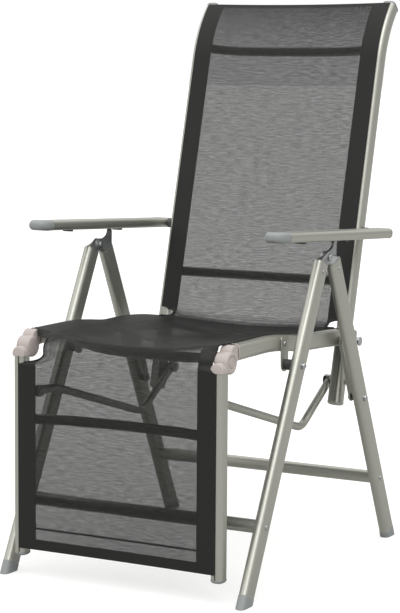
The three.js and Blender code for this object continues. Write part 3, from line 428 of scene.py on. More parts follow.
def new_object(name, shape, material):
    mesh = bpy.data.meshes.new(name)
    mesh.from_pydata(shape[0], [], shape[1])
    mesh.materials.append(material)
    mesh.shade_smooth()
    obj = bpy.data.objects.new(name, mesh)
    bpy.context.scene.collection.objects.link(obj)
    return obj


def place(name, shape, material, body, nodes=(), bevel=0.0, crease=CREASE):
    """Puts a shape on the chair: it rides on a body, and stands for the CAD nodes named."""
    obj = new_object(name, shape, material)
    obj.data.set_sharp_from_angle(angle=math.radians(crease))
    if bevel:
        edge = obj.modifiers.new("edge", "BEVEL")
        edge.width = bevel
        edge.segments = 2
        edge.limit_method = "ANGLE"
        edge.angle_limit = math.radians(crease)
        edge.harden_normals = True
    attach(obj, body)
    if nodes:
        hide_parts(*nodes)
    return obj


def place_pair(name, shape, material, body, nodes=(), bevel=0.0, crease=CREASE):
    """The same piece on the left and mirrored on the right."""
    for side, solid in (("left", shape), ("right", mirror(shape))):
        own_body = body if body in frame["bodies"] else f"{body}_{side}"
        own_nodes = [f"{node}_{side}" for node in nodes]
        place(f"{name}_{side}", solid, material, own_body, own_nodes, bevel, crease)


# %% [markdown]
# ## Legs
#
# The legs are oval tube, 20 by 40 mm, rolled from flat stock and coated. The ends that
# stand on the ground have a plastic cap, cut level with the ground. We sweep the oval
# along each leg and slide the points of its last ring along the leg until they touch the
# floor. A cylinder could not give the oval, and a cut would leave rough edges.

# %% Leg tubes and foot caps
LEG_WIDTH, LEG_DEPTH, LEG_ROUND = 20 * MM, 40 * MM, 9.6 * MM
FRONT_SETBACK, REAR_SETBACK = -20 * MM, 26 * MM
LEG_TOP_DROP = 9 * MM
CAP_RISE = 20 * MM
CAP_EDGE, CAP_ROUND = 0.5 * MM, 10 * MM
LEG_BEVEL, CAP_BEVEL = 0.5 * MM, 1.2 * MM

leg_outline = rounded_rect(LEG_WIDTH, LEG_DEPTH, LEG_ROUND)
cap_outline = rounded_rect(LEG_WIDTH + 2 * CAP_EDGE, LEG_DEPTH + 2 * CAP_EDGE, CAP_ROUND)


def leg_line(foot, setback):
    """Foot, and the direction from it to the point beside the hinge."""
    start = Vector((leg_x, feet[foot].y, 0))
    top = Vector((leg_x, hinge.y + setback, hinge.z))
    return start, (top - start).normalized()


def at_height(line, height):
    start, up = line
    return start + up * (height / up.z)


def level_end(shape, line, count):
    """Slides the first ring of a swept bar along the leg, onto the floor."""
    points, faces = shape
    up = line[1]
    return [p - up * (p.z / up.z) if i < count else p for i, p in enumerate(points)], faces


front_leg = leg_line("front_foot_left", FRONT_SETBACK)
rear_leg = leg_line("rear_foot_left", REAR_SETBACK)
LEGS = (("front", front_leg, "front_legs"), ("rear", rear_leg, "rear_legs"))
for name, line, body in LEGS:
    start, up = line
    low, high = start + up * CAP_RISE, at_height(line, hinge.z - LEG_TOP_DROP)
    place_pair(f"{name}_leg_tube", bar([low, high], leg_outline), aluminium, body,
               [f"{name}_leg"], LEG_BEVEL)
    cap = bar([start, start + up * (CAP_RISE + CAP_EDGE)], cap_outline)
    cap = level_end(cap, line, len(cap_outline))
    place_pair(f"{name}_foot", cap, nose_plastic, body, [f"{name}_foot_cap"], CAP_BEVEL)
    print(name, "leg tube:", round((high - low).length / MM), "mm")

# %% [markdown]
# ## Crossbars
#
# A round tube joins each pair of legs near the ground. It ends against the inner faces of
# the legs, and a screw through each leg holds it. The screw's round head is a turned
# profile, because a sphere would bulge too far.

# %% Crossbars and their screws
CROSSBAR_RADIUS, CROSSBAR_BEVEL = 13 * MM, 0.4 * MM
SCREW_RADIUS, SCREW_HEIGHT = 5.5 * MM, 3 * MM

leg_inner, leg_outer = leg_x - LEG_WIDTH / 2, leg_x + LEG_WIDTH / 2


def screw(place_at, base, height=SCREW_HEIGHT, radius=SCREW_RADIUS):
    return lathe(head(base, height, radius), place_at)


for name, line, body in LEGS:
    centre = at_height(line, middle(f"{name}_crossbar", 2))
    ends = [Vector((x, *centre.yz)) for x in (-leg_inner, leg_inner)]
    place(f"{name}_crossbar_tube", bar(ends, circle(CROSSBAR_RADIUS), Z), aluminium, body,
          [f"{name}_crossbar"], CROSSBAR_BEVEL)
    place_pair(f"{name}_crossbar_screw", screw(centre, leg_outer), steel, body)
print("crossbars:", round(2 * leg_inner / MM), "mm long")

# %% [markdown]
# ## Cast brackets
#
# A casting plugs into the top of each leg and narrows to a round lug, and one bolt goes
# through both lugs. We build the narrowing part as a loft between two edges seen from
# the side: a hollow one above and a straight one below. Its rings shrink from the leg's
# oval to the lug, and the last rings close the lug's round end.

# %% Leg brackets
LUG_RADIUS, LUG_WIDTH, LUG_ROUND = 13 * MM, 7.5 * MM, 0.47
PLUG_GAP, PLUG_EDGE = 0.4 * MM, 0.5 * MM
HOLLOW_DROP, HOLLOW_SHARE, NARROWING = 4 * MM, 0.55, 1.3
SPLIT = 0.2 * MM


def bracket_rings(line, lug_x, steps=16):
    """Middle, direction over, and outline of each ring from the leg's end to the lug."""
    up = line[1]
    start = at_height(line, hinge.z - LEG_TOP_DROP) + up * PLUG_GAP
    bolt = Vector((lug_x, hinge.y, hinge.z))
    away = 1 if start.y > hinge.y else -1
    outward = Vector((0, up.z, -up.y)) * away
    half = LEG_DEPTH / 2 - PLUG_GAP
    far_end, near_end = start + outward * half, start - outward * half
    tilt = Vector((0, 0.35 * away, 0.94)).normalized()
    top, low = bolt + tilt * LUG_RADIUS, bolt - tilt * LUG_RADIUS
    hollow = far_end.lerp(top, HOLLOW_SHARE) - Z * HOLLOW_DROP
    rings = []
    for step in range(steps + 1):
        t = step / steps
        high = far_end * (1 - t) ** 2 + hollow * (2 * t * (1 - t)) + top * t * t
        deep = near_end.lerp(low, t)
        width = mix(LEG_WIDTH - 2 * PLUG_EDGE, LUG_WIDTH, ease(min(t * NARROWING, 1)))
        centre = (high + deep) / 2
        over = Vector((0, high.y - deep.y, high.z - deep.z))
        outline = rounded_rect(width, over.length, width * LUG_ROUND)
        rings.append((Vector((mix(leg_x, lug_x, ease(t)), *centre.yz)), over.normalized(), outline))
    beyond = Vector((0, -tilt.z, tilt.y)) * away
    for step in range(1, steps):
        turn = math.pi / 2 * step / steps
        depth = 2 * LUG_RADIUS * math.cos(turn)
        outline = rounded_rect(LUG_WIDTH, depth, min(LUG_WIDTH * LUG_ROUND, depth / 2.1))
        rings.append((bolt + beyond * (LUG_RADIUS * math.sin(turn)), tilt, outline))
    return rings, away


def bracket(line, lug_x):
    rings, away = bracket_rings(line, lug_x)
    points = [centre + X * a + over * b for centre, over, outline in rings for a, b in outline]
    faces = sweep([ring[0] for ring in rings], [ring[2] for ring in rings], ahead=line[1])[1]
    return (points, faces) if away > 0 else (points, [tuple(reversed(f)) for f in faces])


lug_middle = SPLIT + LUG_WIDTH / 2
place_pair("front_bracket", bracket(front_leg, leg_x + lug_middle), casting, "front_legs",
           ["front_leg_bracket"])
place_pair("rear_bracket", bracket(rear_leg, leg_x - lug_middle), casting, "rear_legs",
           ["rear_leg_bracket"])
print("rings in a bracket:", len(bracket_rings(front_leg, leg_x)[0]))

# %% [markdown]
# ## The blade under the armrest
#
# The rear casting also carries an upright blade, and the armrest's rack lies on its round
# top. It is cast in one with the bracket, so it has soft edges. A flat outline with a
# curved front is enough, and a bevel gives the soft edges.

# %% Armrest supports
FIN_WIDTH, FIN_THICKNESS, FIN_BEVEL = 14 * MM, 6.5 * MM, 1.6 * MM
FIN_SETBACK, FIN_RISE = 40 * MM, 24.5 * MM
FIN_TOE, FIN_TOE_SHARE, FIN_BEND = -4 * MM, 0.85, 1 * MM
FIN_INSIDE = (4 * MM, -8 * MM)
FIN_HEEL = (REAR_SETBACK + 20 * MM, -12 * MM)


def fin(steps=8):
    """Blade with a hollow front edge and a round top, standing behind the hinge bolt."""
    top = (hinge.y + FIN_SETBACK, hinge.z + FIN_RISE)
    radius = FIN_WIDTH / 2
    toe = (hinge.y + FIN_TOE, hinge.z + LUG_RADIUS * FIN_TOE_SHARE)
    bend = (top[0] - radius - FIN_BEND, toe[1] + FIN_BEND)
    front = []
    for step in range(1, steps + 1):
        t = step / steps
        front.append(tuple(
            (1 - t) ** 2 * a + 2 * t * (1 - t) * b + t * t * c
            for a, b, c in zip((top[0] - radius, top[1]), bend, toe)
        ))
    below = [(hinge.y + y, hinge.z + z) for y, z in (FIN_INSIDE, FIN_HEEL)]
    return arc(top, radius, 0, 180) + front + below


blade = plate(fin(), leg_x - FIN_THICKNESS, leg_x - SPLIT)
place_pair("armrest_support", blade, casting, "rear_legs", bevel=FIN_BEVEL)
print("blade rises", FIN_RISE / MM, "mm above the hinge")

# %% [markdown]
# ## Hinge bolts
#
# One bolt with a round head passes through both lugs, and a domed nut closes it. Small
# screws hold each casting in its leg. All of them are turned shapes, and only their heads
# show.

# %% Hinge bolts and bracket screws
BOLT_RADIUS = 4 * MM
HINGE_HEAD, HINGE_NUT = (-4 * MM, 8 * MM), (5 * MM, 7.5 * MM)
BRACKET_SCREW_DROP, BRACKET_SCREW_RADIUS, SCREW_SINK = 16 * MM, 4 * MM, 0.3 * MM

inner_face, outer_face = leg_x - SPLIT - LUG_WIDTH, leg_x + SPLIT + LUG_WIDTH
bolt = lathe(
    head(inner_face, *HINGE_HEAD) + [(inner_face, BOLT_RADIUS), (outer_face, BOLT_RADIUS)]
    + head(outer_face, *HINGE_NUT), hinge,
)
place_pair("hinge_bolt", bolt, steel, "front_legs", ["leg_hinge_bolt"])
for name, line, body in LEGS:
    centre = at_height(line, hinge.z - LEG_TOP_DROP - BRACKET_SCREW_DROP)
    small = screw(centre, leg_outer - SCREW_SINK, radius=BRACKET_SCREW_RADIUS)
    place_pair(f"{name}_bracket_screw", small, steel, body)
print("hinge bolt grips", round((outer_face - inner_face) / MM, 1), "mm")

# %% [markdown]
# ## Rails
#
# The rails of the seat, back and footrest are rounded rectangular tube. Extruded tube
# for such chairs has a slot on one face, and the edge of the cloth is locked in it. We
# draw that slot into the outline, so it runs along the whole rail.

# %% Rail outlines
RAIL_WIDTH, RAIL_DEPTH, RAIL_ROUND = 28 * MM, 32 * MM, 8.8 * MM
SLOT_WIDTH, SLOT_DEPTH = 3 * MM, 5 * MM
CLOTH_HALF = 220 * MM


def slotted(width, depth, radius, slot_at):
    """Rounded rectangle with a narrow slot in the side that faces -over."""
    points = rounded_rect(width, depth, radius)
    after = 3 * len(points) // 4
    low, half = -depth / 2, SLOT_WIDTH / 2
    slot = [(slot_at - half, low), (slot_at - half, low + SLOT_DEPTH),
            (slot_at + half, low + SLOT_DEPTH), (slot_at + half, low)]
    return points[:after] + slot + points[after:]


back_outline = slotted(RAIL_WIDTH, RAIL_DEPTH, RAIL_ROUND, CLOTH_HALF - back_x)
print("points in the outline of a back rail:", len(back_outline))

# %% [markdown]
# ## Seat rails
#
# The seat rails are pressed flat behind the strap and set outward, to pass outside the
# back. Their places come in two rows of shares: how far along, how much of the drop, of
# the way outward and of the flattening is done there. The curve between them is smooth,
# as in a bent tube.

# %% Seat rails
FLAT_WIDTH, FLAT_DEPTH, FLAT_GAP = 12 * MM, 34 * MM, 2 * MM
SEAT_OVER_KNEE, SEAT_REAR_RISE, SEAT_TAIL = 16 * MM, 6 * MM, 10 * MM
KNEE_SHOULDER = 30 * MM
STRAP_WIDTH = 30 * MM
SEAT_BEVEL = 0.4 * MM
FRONT_SHARES = ((0, 0), (0.36, 0.01), (0.7, 0.04), (1, 0.21))
REAR_SHARES = ((0.2, 0.44, 0.3, 0.15), (0.38, 0.52, 0.78, 0.5), (0.55, 0.58, 1, 0.85),
               (0.78, 0.74, 1, 1), (1, 1, 1, 1))

flat_x = back_x + RAIL_WIDTH / 2 + FLAT_GAP + FLAT_WIDTH / 2
seat_height = knee.z + SEAT_OVER_KNEE
seat_front = knee.y + KNEE_SHOULDER
strap_rear = seat_pivot.y + STRAP_WIDTH / 2


def rail_place(y, drop, spread, flat):
    """X, Y and Z of the seat rail's middle, and its width and depth there."""
    return (
        mix(front_x, flat_x, spread), y, mix(seat_height, back_pivot.z + SEAT_REAR_RISE, drop),
        mix(RAIL_WIDTH, FLAT_WIDTH, flat), mix(RAIL_DEPTH, FLAT_DEPTH, flat),
    )


rail_places = [rail_place(mix(seat_front, strap_rear, s), d, 0, 0) for s, d in FRONT_SHARES]
rail_places += [rail_place(mix(strap_rear, back_pivot.y, s), *rest) for s, *rest in REAR_SHARES]
slope = [b - a for a, b in zip(rail_places[-2], rail_places[-1])]
tail = SEAT_TAIL / slope[1]
rail_places.append(tuple(b + s * tail for b, s in zip(rail_places[-1], slope)))
seat_rail_line = spline(rail_places)
outlines = [
    rounded_rect(width, depth, min(RAIL_ROUND, width * LUG_ROUND))
    for _, _, _, width, depth in seat_rail_line
]
rail = sweep([Vector(place_at[:3]) for place_at in seat_rail_line], outlines)
place_pair("seat_rail_tube", rail, aluminium, "seat", ["seat_rail"], SEAT_BEVEL)


def seat_rail_at(y):
    """X, height and depth of the seat rail at a given Y."""
    for low, high in zip(seat_rail_line, seat_rail_line[1:]):
        if y <= high[1]:
            t = max((y - low[1]) / (high[1] - low[1]), 0)
            return [mix(low[axis], high[axis], t) for axis in (0, 2, 4)]
    return [seat_rail_line[-1][axis] for axis in (0, 2, 4)]


print("seat rail drops", round((seat_height - rail_places[-1][2]) / MM), "mm to the rear")

# %% [markdown]
# ## The back frame
#
# Each back rail is straight up to shoulder height and then bends back for the head. One
# function gives any point of the back in the side view, from its distance along the rail
# and how far it lies behind it. The cloth uses it too, so both always fit.

# %% Back rails
LEAN = math.radians(15.1)
STRAIGHT, TAIL = 599 * MM, 129 * MM
HEAD_RADIUS, HEAD_BEND = 243 * MM, math.radians(30)
SETBACK = 3.5 * MM

back_top = STRAIGHT + HEAD_RADIUS * HEAD_BEND


def on_back(along, behind=0.0, x=0.0):
    turn = LEAN + max(along - STRAIGHT, 0) / HEAD_RADIUS
    rear_start, rear = [Vector((0, math.cos(a), -math.sin(a))) for a in (LEAN, turn)]
    up = Vector((0, math.sin(LEAN), math.cos(LEAN)))
    place_at = back_pivot + up * min(along, STRAIGHT) + rear_start * (SETBACK + HEAD_RADIUS)
    place_at += rear * (behind - HEAD_RADIUS)
    return Vector((x, *place_at.yz))


def back_alongs(low, high, steps=14):
    """Distances along the back, closer together where it bends."""
    return [low] + [mix(STRAIGHT, high, step / steps) for step in range(steps + 1)]


path = [on_back(along, x=back_x) for along in back_alongs(-TAIL, back_top)]
place_pair("back_rail_tube", bar(path, back_outline), aluminium, "back", ["back_rail"],
           crease=TUBE_CREASE)
print("back rail:", round((back_top + TAIL) / MM), "mm of tube")

# %% [markdown]
# ## Caps of the back rails
#
# An open tube end would show its wall, so a moulded cap closes it: a thin flange on the
# tube's end and a low dome on the flange. The lower ends face the ground, and their caps
# have the tube's colour.

# %% End caps of the back rails
CAP_FLANGE, CAP_DOME, CAP_LIP = 2 * MM, 5 * MM, 0.5 * MM
CAP_NARROWING = 0.55


def end_cap(start, ahead, width, depth, radius, steps=5):
    """Flange on a tube's end, with a low dome on it."""
    path = [start, start + ahead * CAP_FLANGE]
    outlines = [rounded_rect(width + 2 * CAP_LIP, depth + 2 * CAP_LIP, radius)] * 2
    for step in range(1, steps + 1):
        turn = math.pi / 2 * step / steps
        share = 1 - CAP_NARROWING * (1 - math.cos(turn))
        path.append(start + ahead * (CAP_FLANGE + CAP_DOME * math.sin(turn)))
        outlines.append(rounded_rect(width * share, depth * share, radius * share))
    return sweep(path, outlines, ahead=ahead)


for name, end, way, finish in (("top", back_top, 1, nose_plastic), ("tail", -TAIL, -1, aluminium)):
    start = on_back(end, x=back_x)
    ahead = (start - on_back(end - way * MM, x=back_x)).normalized()
    cap = end_cap(start, ahead, RAIL_WIDTH, RAIL_DEPTH, RAIL_ROUND)
    place_pair(f"back_{name}_cap", cap, finish, "back")
print("caps stand", (CAP_FLANGE + CAP_DOME) / MM, "mm proud")

# %% [markdown]
# ## Stretchers
#
# Round tubes join the rails. Some are bowed, so that they stay clear of whoever sits
# there. A bow that is flat in the middle and turns near its ends is 1 - s^4, where s runs
# from -1 to 1. A lower power gives a rounder bow.

# %% Stretchers
STRETCHER_RADIUS = 10 * MM
HEAD_BAR_ALONG, HEAD_BAR_BOW, WAIST_BAR_ALONG = 622 * MM, 22 * MM, 124 * MM
SEAT_BAR_DROP, SEAT_BAR_BOW = 6 * MM, -27 * MM


def stretcher(centre, half, bow, power=4, steps=28):
    path = []
    for step in range(steps + 1):
        s = 2 * step / steps - 1
        path.append(Vector((s * half, centre.y, centre.z)) + bow * (1 - abs(s) ** power))
    over = bow.cross(X).normalized() if bow.length > 0 else Z
    return bar(path, circle(STRETCHER_RADIUS), over)


back_inner = back_x - RAIL_WIDTH / 2
upper, behind = on_back(HEAD_BAR_ALONG), on_back(HEAD_BAR_ALONG, HEAD_BAR_BOW)
place("back_head_stretcher", stretcher(upper, back_inner, behind - upper), aluminium, "back",
      ["back_upper_stretcher"])
place("back_waist_stretcher", stretcher(on_back(WAIST_BAR_ALONG), back_inner, Vector()),
      aluminium, "back", ["back_lower_stretcher"])

seat_inner = front_x - RAIL_WIDTH / 2
stretcher_y = middle("seat_front_stretcher", 1)
centre = Vector((0, stretcher_y, seat_rail_at(stretcher_y)[1] - SEAT_BAR_DROP))
place("seat_stretcher", stretcher(centre, seat_inner, Z * SEAT_BAR_BOW), aluminium,
      "seat", ["seat_front_stretcher"])
print("stretchers, mm:", round(2 * back_inner / MM), "and", round(2 * seat_inner / MM))

# %% [markdown]
# ## The footrest frame
#
# The footrest hangs from the knees: two slotted rails, a little smaller than those of the
# back, with plugs in their lower ends and two stretchers. The upper one is bowed backward,
# to stay clear of the calves. It is one more use of the shapes that we have.

# %% Footrest rails and stretchers
FOOT_WIDTH, FOOT_DEPTH, FOOT_ROUND = 25 * MM, 28 * MM, 8.8 * MM
FOOT_AHEAD, FOOT_DROP, FOOT_INTO_KNEE = 20 * MM, 22 * MM, 8 * MM
FOOT_LEAN = math.radians(0.8)
FOOT_BOW, FOOT_BOW_POWER = 26 * MM, 2.6

foot_top = knee.z - FOOT_DROP
foot_low = span("foot_rail_left", 2)[0]


def on_foot(height, behind=0.0, x=0.0):
    y = knee.y - FOOT_AHEAD - (foot_top - height) * math.tan(FOOT_LEAN) + behind
    return Vector((x, y, height))


foot_outline = slotted(FOOT_WIDTH, FOOT_DEPTH, FOOT_ROUND, CLOTH_HALF - front_x)
path = [on_foot(foot_low, x=front_x), on_foot(foot_top + FOOT_INTO_KNEE, x=front_x)]
place_pair("foot_rail_tube", bar(path, foot_outline), aluminium, "footrest", ["foot_rail"],
           crease=TUBE_CREASE)
down = (path[0] - path[1]).normalized()
place_pair("foot_rail_plug", end_cap(path[0], down, FOOT_WIDTH, FOOT_DEPTH, FOOT_ROUND),
           nose_plastic, "footrest")
foot_inner = front_x - FOOT_WIDTH / 2
for name, bow in (("upper", FOOT_BOW), ("lower", 0)):
    centre = on_foot(middle(f"foot_{name}_stretcher", 2))
    tube = stretcher(centre, foot_inner, Vector((0, bow, 0)), FOOT_BOW_POWER)
    place(f"footrest_{name}_tube", tube, aluminium, "footrest", [f"foot_{name}_stretcher"])
print("footrest rail:", round((foot_top - foot_low) / MM), "mm below the knee")

# %% [markdown]
# ## Knee barrels
#
# The footrest turns on two moulded plastic knuckles. The lower half is a short barrel with
# a recessed round face, and an arched front that runs down to the tube. The barrel is
# turned: its profile runs back along X where the face is recessed. The front is a stack of
# four arched outlines, and the first ones are smaller, which rounds its edge.

# %% Knee barrels
KNEE_RADIUS, KNEE_EASE, KNEE_CORNER = 21 * MM, 1 * MM, 3 * MM
KNEE_STEP, KNEE_BEVEL, KNEE_TURNS = 1.2 * MM, 0.5 * MM, 40
FACE_RADIUS, FACE_RISE, FACE_EDGE = 15 * MM, 2 * MM, 1 * MM
FACE_SHARES = (0.55, 0.62)
COLLAR_LIFT, COLLAR_INSET, COLLAR_RISE = 6 * MM, 0.3 * MM, 3 * MM
COLLAR_RINGS = ((-1 * MM, 3.2 * MM), (0, 1 * MM), (2 * MM, 0), (FOOT_DEPTH, 0))

knee_low, knee_high = span("foot_knuckle_left", 0)
hub_radius, recess_radius = [FACE_RADIUS * share for share in FACE_SHARES]
barrel_profile = [
    (knee_low, hub_radius), (knee_low, KNEE_RADIUS - KNEE_CORNER),
    (knee_low + KNEE_EASE, KNEE_RADIUS - KNEE_STEP), (knee_low + KNEE_CORNER, KNEE_RADIUS),
    (knee_high - KNEE_CORNER, KNEE_RADIUS), (knee_high - KNEE_EASE, KNEE_RADIUS - KNEE_STEP),
    (knee_high, KNEE_RADIUS - KNEE_CORNER), (knee_high, FACE_RADIUS),
    (knee_high - FACE_RISE, FACE_RADIUS - FACE_EDGE), (knee_high - FACE_RISE, recess_radius),
    (knee_high, hub_radius),
]


def arched_front():
    """Upright block with a half-round top, seen from the front."""
    low, top = foot_top + COLLAR_LIFT, knee.z + COLLAR_RISE
    half = (knee_high - knee_low) / 2 - COLLAR_INSET
    outline = [(-half, low), (half, low)] + arc((0, top - half), half, 0, 180, 16)
    front = on_foot(low).y - FOOT_DEPTH / 2
    count = len(outline)
    points, faces = [], []
    for depth, shrink in COLLAR_RINGS:
        for a, b in outline:
            height = mix(low, b, 1 - shrink / (top - low))
            points.append(Vector((front_x + a * (1 - shrink / half), front + depth, height)))
    for ring in range(len(COLLAR_RINGS) - 1):
        for start in range(count):
            a, b = ring * count + start, ring * count + (start + 1) % count
            faces.append((b, a, a + count, b + count))
    faces.append(tuple(range(count)))
    faces.append(tuple(reversed(range(len(points) - count, len(points)))))
    return points, faces


barrel = merge(lathe(barrel_profile, knee, KNEE_TURNS), arched_front())
place_pair("knee_barrel", barrel, knuckle_plastic, "footrest", ["foot_knuckle"], KNEE_BEVEL)
print("knee barrel:", round((knee_high - knee_low) / MM, 1), "mm wide")

# %% [markdown]
# ## Knee domes
#
# The upper half of a knuckle is a rounded block with a rim against the seat rail. A belt
# round three circles gives its side view in one step. Where block and rim meet, a thin sunk
# ring of dark plastic is painted shade: it stands for the shadow line in the gap between
# them. It is a piece and not a painted line, so that its edge still catches the light.

# %% Knee domes, rims and pins
KNEE_RIM, RIM_LIP, RIM_OVERLAP, RIM_BEVEL = 3 * MM, 0.8 * MM, 0.2 * MM, 0.8 * MM
DOME_ROUND, DOME_SETBACK, DOME_SIDE, DOME_BEVEL = 16.5 * MM, 5 * MM, 1 * MM, 5 * MM
DOME_HEEL, DOME_HEEL_IN, DOME_HEEL_UP = 2 * MM, 2 * MM, 3 * MM
DOME_TOE, DOME_TOE_OUT, DOME_TOE_UP = 3 * MM, 6 * MM, 4 * MM
# Width and depth of the sunk dark ring that paints the shadow line between dome and rim
SHADE_RING_WIDTH, SHADE_RING_SINK = 1.4 * MM, 0.5 * MM
PIN_INSET, PIN_RADIUS, PIN_HEAD = 2 * MM, 5 * MM, (0.8 * MM, 6 * MM)

rim_rear = seat_front
rim_front = rim_rear - KNEE_RIM
low, high = seat_height - RAIL_DEPTH / 2, seat_height + RAIL_DEPTH / 2
dome_outline = belt(
    (rim_front - DOME_ROUND + DOME_SETBACK, high - DOME_ROUND, DOME_ROUND),
    (rim_front - DOME_HEEL_IN, low + DOME_HEEL_UP, DOME_HEEL),
    (knee.y + DOME_TOE_OUT, low + DOME_TOE_UP, DOME_TOE),
)
dome_half = RAIL_WIDTH / 2 - DOME_SIDE
place_pair("knee_dome", plate(dome_outline, front_x - dome_half, front_x + dome_half),
           knuckle_plastic, "seat", ["seat_knuckle"], DOME_BEVEL)


def around_rail(front, rear, lip, radius):
    """Short block round the seat rail's end, wider than the rail by a lip on each side."""
    ends = [Vector((front_x, y, seat_height)) for y in (front, rear)]
    return bar(ends, rounded_rect(RAIL_WIDTH + 2 * lip, RAIL_DEPTH + 2 * lip, radius))


rim = around_rail(rim_front - RIM_OVERLAP, rim_rear, RIM_LIP, RAIL_ROUND + RIM_LIP)
place_pair("knee_rim", rim, knuckle_plastic, "seat", bevel=RIM_BEVEL)
# Painted shade: a thin dark ring where the dome meets the rim, standing for the shadow in that gap
joint = around_rail(rim_front - SHADE_RING_WIDTH, rim_front, -SHADE_RING_SINK, RAIL_ROUND)
place_pair("knee_shade_ring", joint, dark_plastic, "seat")
pin = lathe([(knee_low + PIN_INSET, PIN_RADIUS)] + head(knee_high - FACE_RISE, *PIN_HEAD), knee)
place_pair("knee_pin_end", pin, steel, "knee_pins", ["knee_pin"])
print("dome side view has", len(dome_outline), "points")

# %% [markdown]
# ## Straps
#
# A strap pressed from flat aluminium hangs from each seat rail and turns on a bolt in the
# front leg, with a nylon spacer between. These are small, but a person who knows such
# chairs looks for them. The strap is a belt outline again, with a narrow bevel.

# %% Straps, spacers and their bolts
STRAP_GAP, STRAP_THICKNESS, STRAP_BEVEL = 0.3 * MM, 3 * MM, 0.8 * MM
STRAP_EYE, STRAP_CORNER, STRAP_TOP_SHARE = 14 * MM, 4 * MM, 0.4
RIVET_DROP = 13 * MM
SPACER_RADIUS, SPACER_EDGE, SPACER_GAPS = 10.5 * MM, 1 * MM, (0.4 * MM, 0.3 * MM)
BOLT_HEAD, BOLT_GAP = (-4 * MM, 7 * MM), 0.4 * MM
WASHER_RADIUS, WASHER_THICKNESS, NUT_RADIUS = 8 * MM, 1.2 * MM, 6.3 * MM
SEAT_NUT_HEIGHT, STRUT_NUT_HEIGHT = 6 * MM, 5 * MM

strap_inner = front_x + RAIL_WIDTH / 2 + STRAP_GAP
strap_outer = strap_inner + STRAP_THICKNESS
strap_top = seat_rail_at(seat_pivot.y)[1] + RAIL_DEPTH * STRAP_TOP_SHARE
half = STRAP_WIDTH / 2 - STRAP_CORNER
corners = [(seat_pivot.y + y, strap_top - STRAP_CORNER, STRAP_CORNER) for y in (-half, half)]
strap = plate(belt((seat_pivot.y, seat_pivot.z, STRAP_EYE), *corners), strap_inner, strap_outer)
place_pair("seat_strap_plate", strap, aluminium, "seat", ["seat_strap"], STRAP_BEVEL)
rivet_at = Vector((0, seat_pivot.y, strap_top - RIVET_DROP))
place_pair("seat_strap_rivet", screw(rivet_at, strap_outer), steel, "seat")


def through_bolt(place_at, inner, outer, nut_height):
    """Round head at the inner end, and a domed nut on a washer outside."""
    on_washer = outer + WASHER_THICKNESS
    return lathe(
        head(inner, *BOLT_HEAD) + [(inner, BOLT_RADIUS), (outer, BOLT_RADIUS)]
        + [(outer, WASHER_RADIUS), (on_washer, WASHER_RADIUS)]
        + head(on_washer, nut_height, NUT_RADIUS), place_at,
    )


near, far = strap_outer + SPACER_GAPS[0], leg_inner - SPACER_GAPS[1]
spacer = lathe([
    (near, SPACER_RADIUS - SPACER_EDGE), (near + SPACER_EDGE, SPACER_RADIUS),
    (far - SPACER_EDGE, SPACER_RADIUS), (far, SPACER_RADIUS - SPACER_EDGE),
], seat_pivot)
place_pair("seat_spacer", spacer, dark_plastic, "front_legs", ["seat_pivot_spacer"])
bolt = through_bolt(seat_pivot, strap_inner - BOLT_GAP, leg_outer, SEAT_NUT_HEIGHT)
place_pair("seat_bolt", bolt, steel, "front_legs", ["seat_pivot_bolt"])
print("spacer:", round((far - near) / MM, 1), "mm wide")

# %% [markdown]
# ## Struts
#
# A flat strut stands on each rear leg and holds the rear of the seat up. It turns on a
# bolt at the leg, past a nylon collar, and on a rivet at the rail. Its ends are round
# because it is punched from a strip.

# %% Struts
STRUT_THICKNESS, STRUT_ROUND, STRUT_BEVEL = 4 * MM, 9 * MM, 0.9 * MM
STRUT_RIVET = (3.5 * MM, 6.5 * MM)
COLLAR_RADIUS = 7 * MM

strut_out = span("strut_left", 0)[1]
strut_in = strut_out - STRUT_THICKNESS
strut_top = Vector((0, middle("strut_left", 1) * 2 - strut_foot.y,
                    span("strut_left", 2)[1] - STRUT_ROUND))
ends = [(p.y, p.z, STRUT_ROUND) for p in (strut_foot, strut_top)]
place_pair("strut_plate", plate(belt(*ends), strut_in, strut_out), aluminium, "strut",
           ["strut"], STRUT_BEVEL)
place_pair("strut_rivet", screw(strut_top, strut_out, *STRUT_RIVET), steel, "strut")
collar = [(strut_out + SPACER_GAPS[0], COLLAR_RADIUS), (leg_inner - SPACER_GAPS[1], COLLAR_RADIUS)]
place_pair("strut_collar", lathe(collar, strut_foot), dark_plastic, "rear_legs")
bolt = through_bolt(strut_foot, strut_in, leg_outer, STRUT_NUT_HEIGHT)
place_pair("strut_through_bolt", bolt, steel, "rear_legs", ["strut_bolt"])
strut_length = math.hypot(strut_top.y - strut_foot.y, strut_top.z - strut_foot.z)
print("strut:", round(strut_length / MM, 1), "mm between its holes")

# %% [markdown]
# ## Back pins
#
# The back turns on one stout pin on each side. It passes through the back rail and the
# flattened end of the seat rail, and stands out beyond the leg with a flange at its end.
# It is turned steel, so one profile makes it.

# %% Back pivot pins
PIN_BASE, BACK_HEAD = 6 * MM, (-6 * MM, 11 * MM)
SHAFT_RADIUS, SHOULDER_RADIUS, SHOULDER_OUT = 5 * MM, 7.5 * MM, 7 * MM
FLANGE_RADIUS, FLANGE_WIDTH, FLANGE_EASE = 9.5 * MM, 3 * MM, (0.6 * MM, 0.5 * MM)
PIN_BEVEL = 0.3 * MM

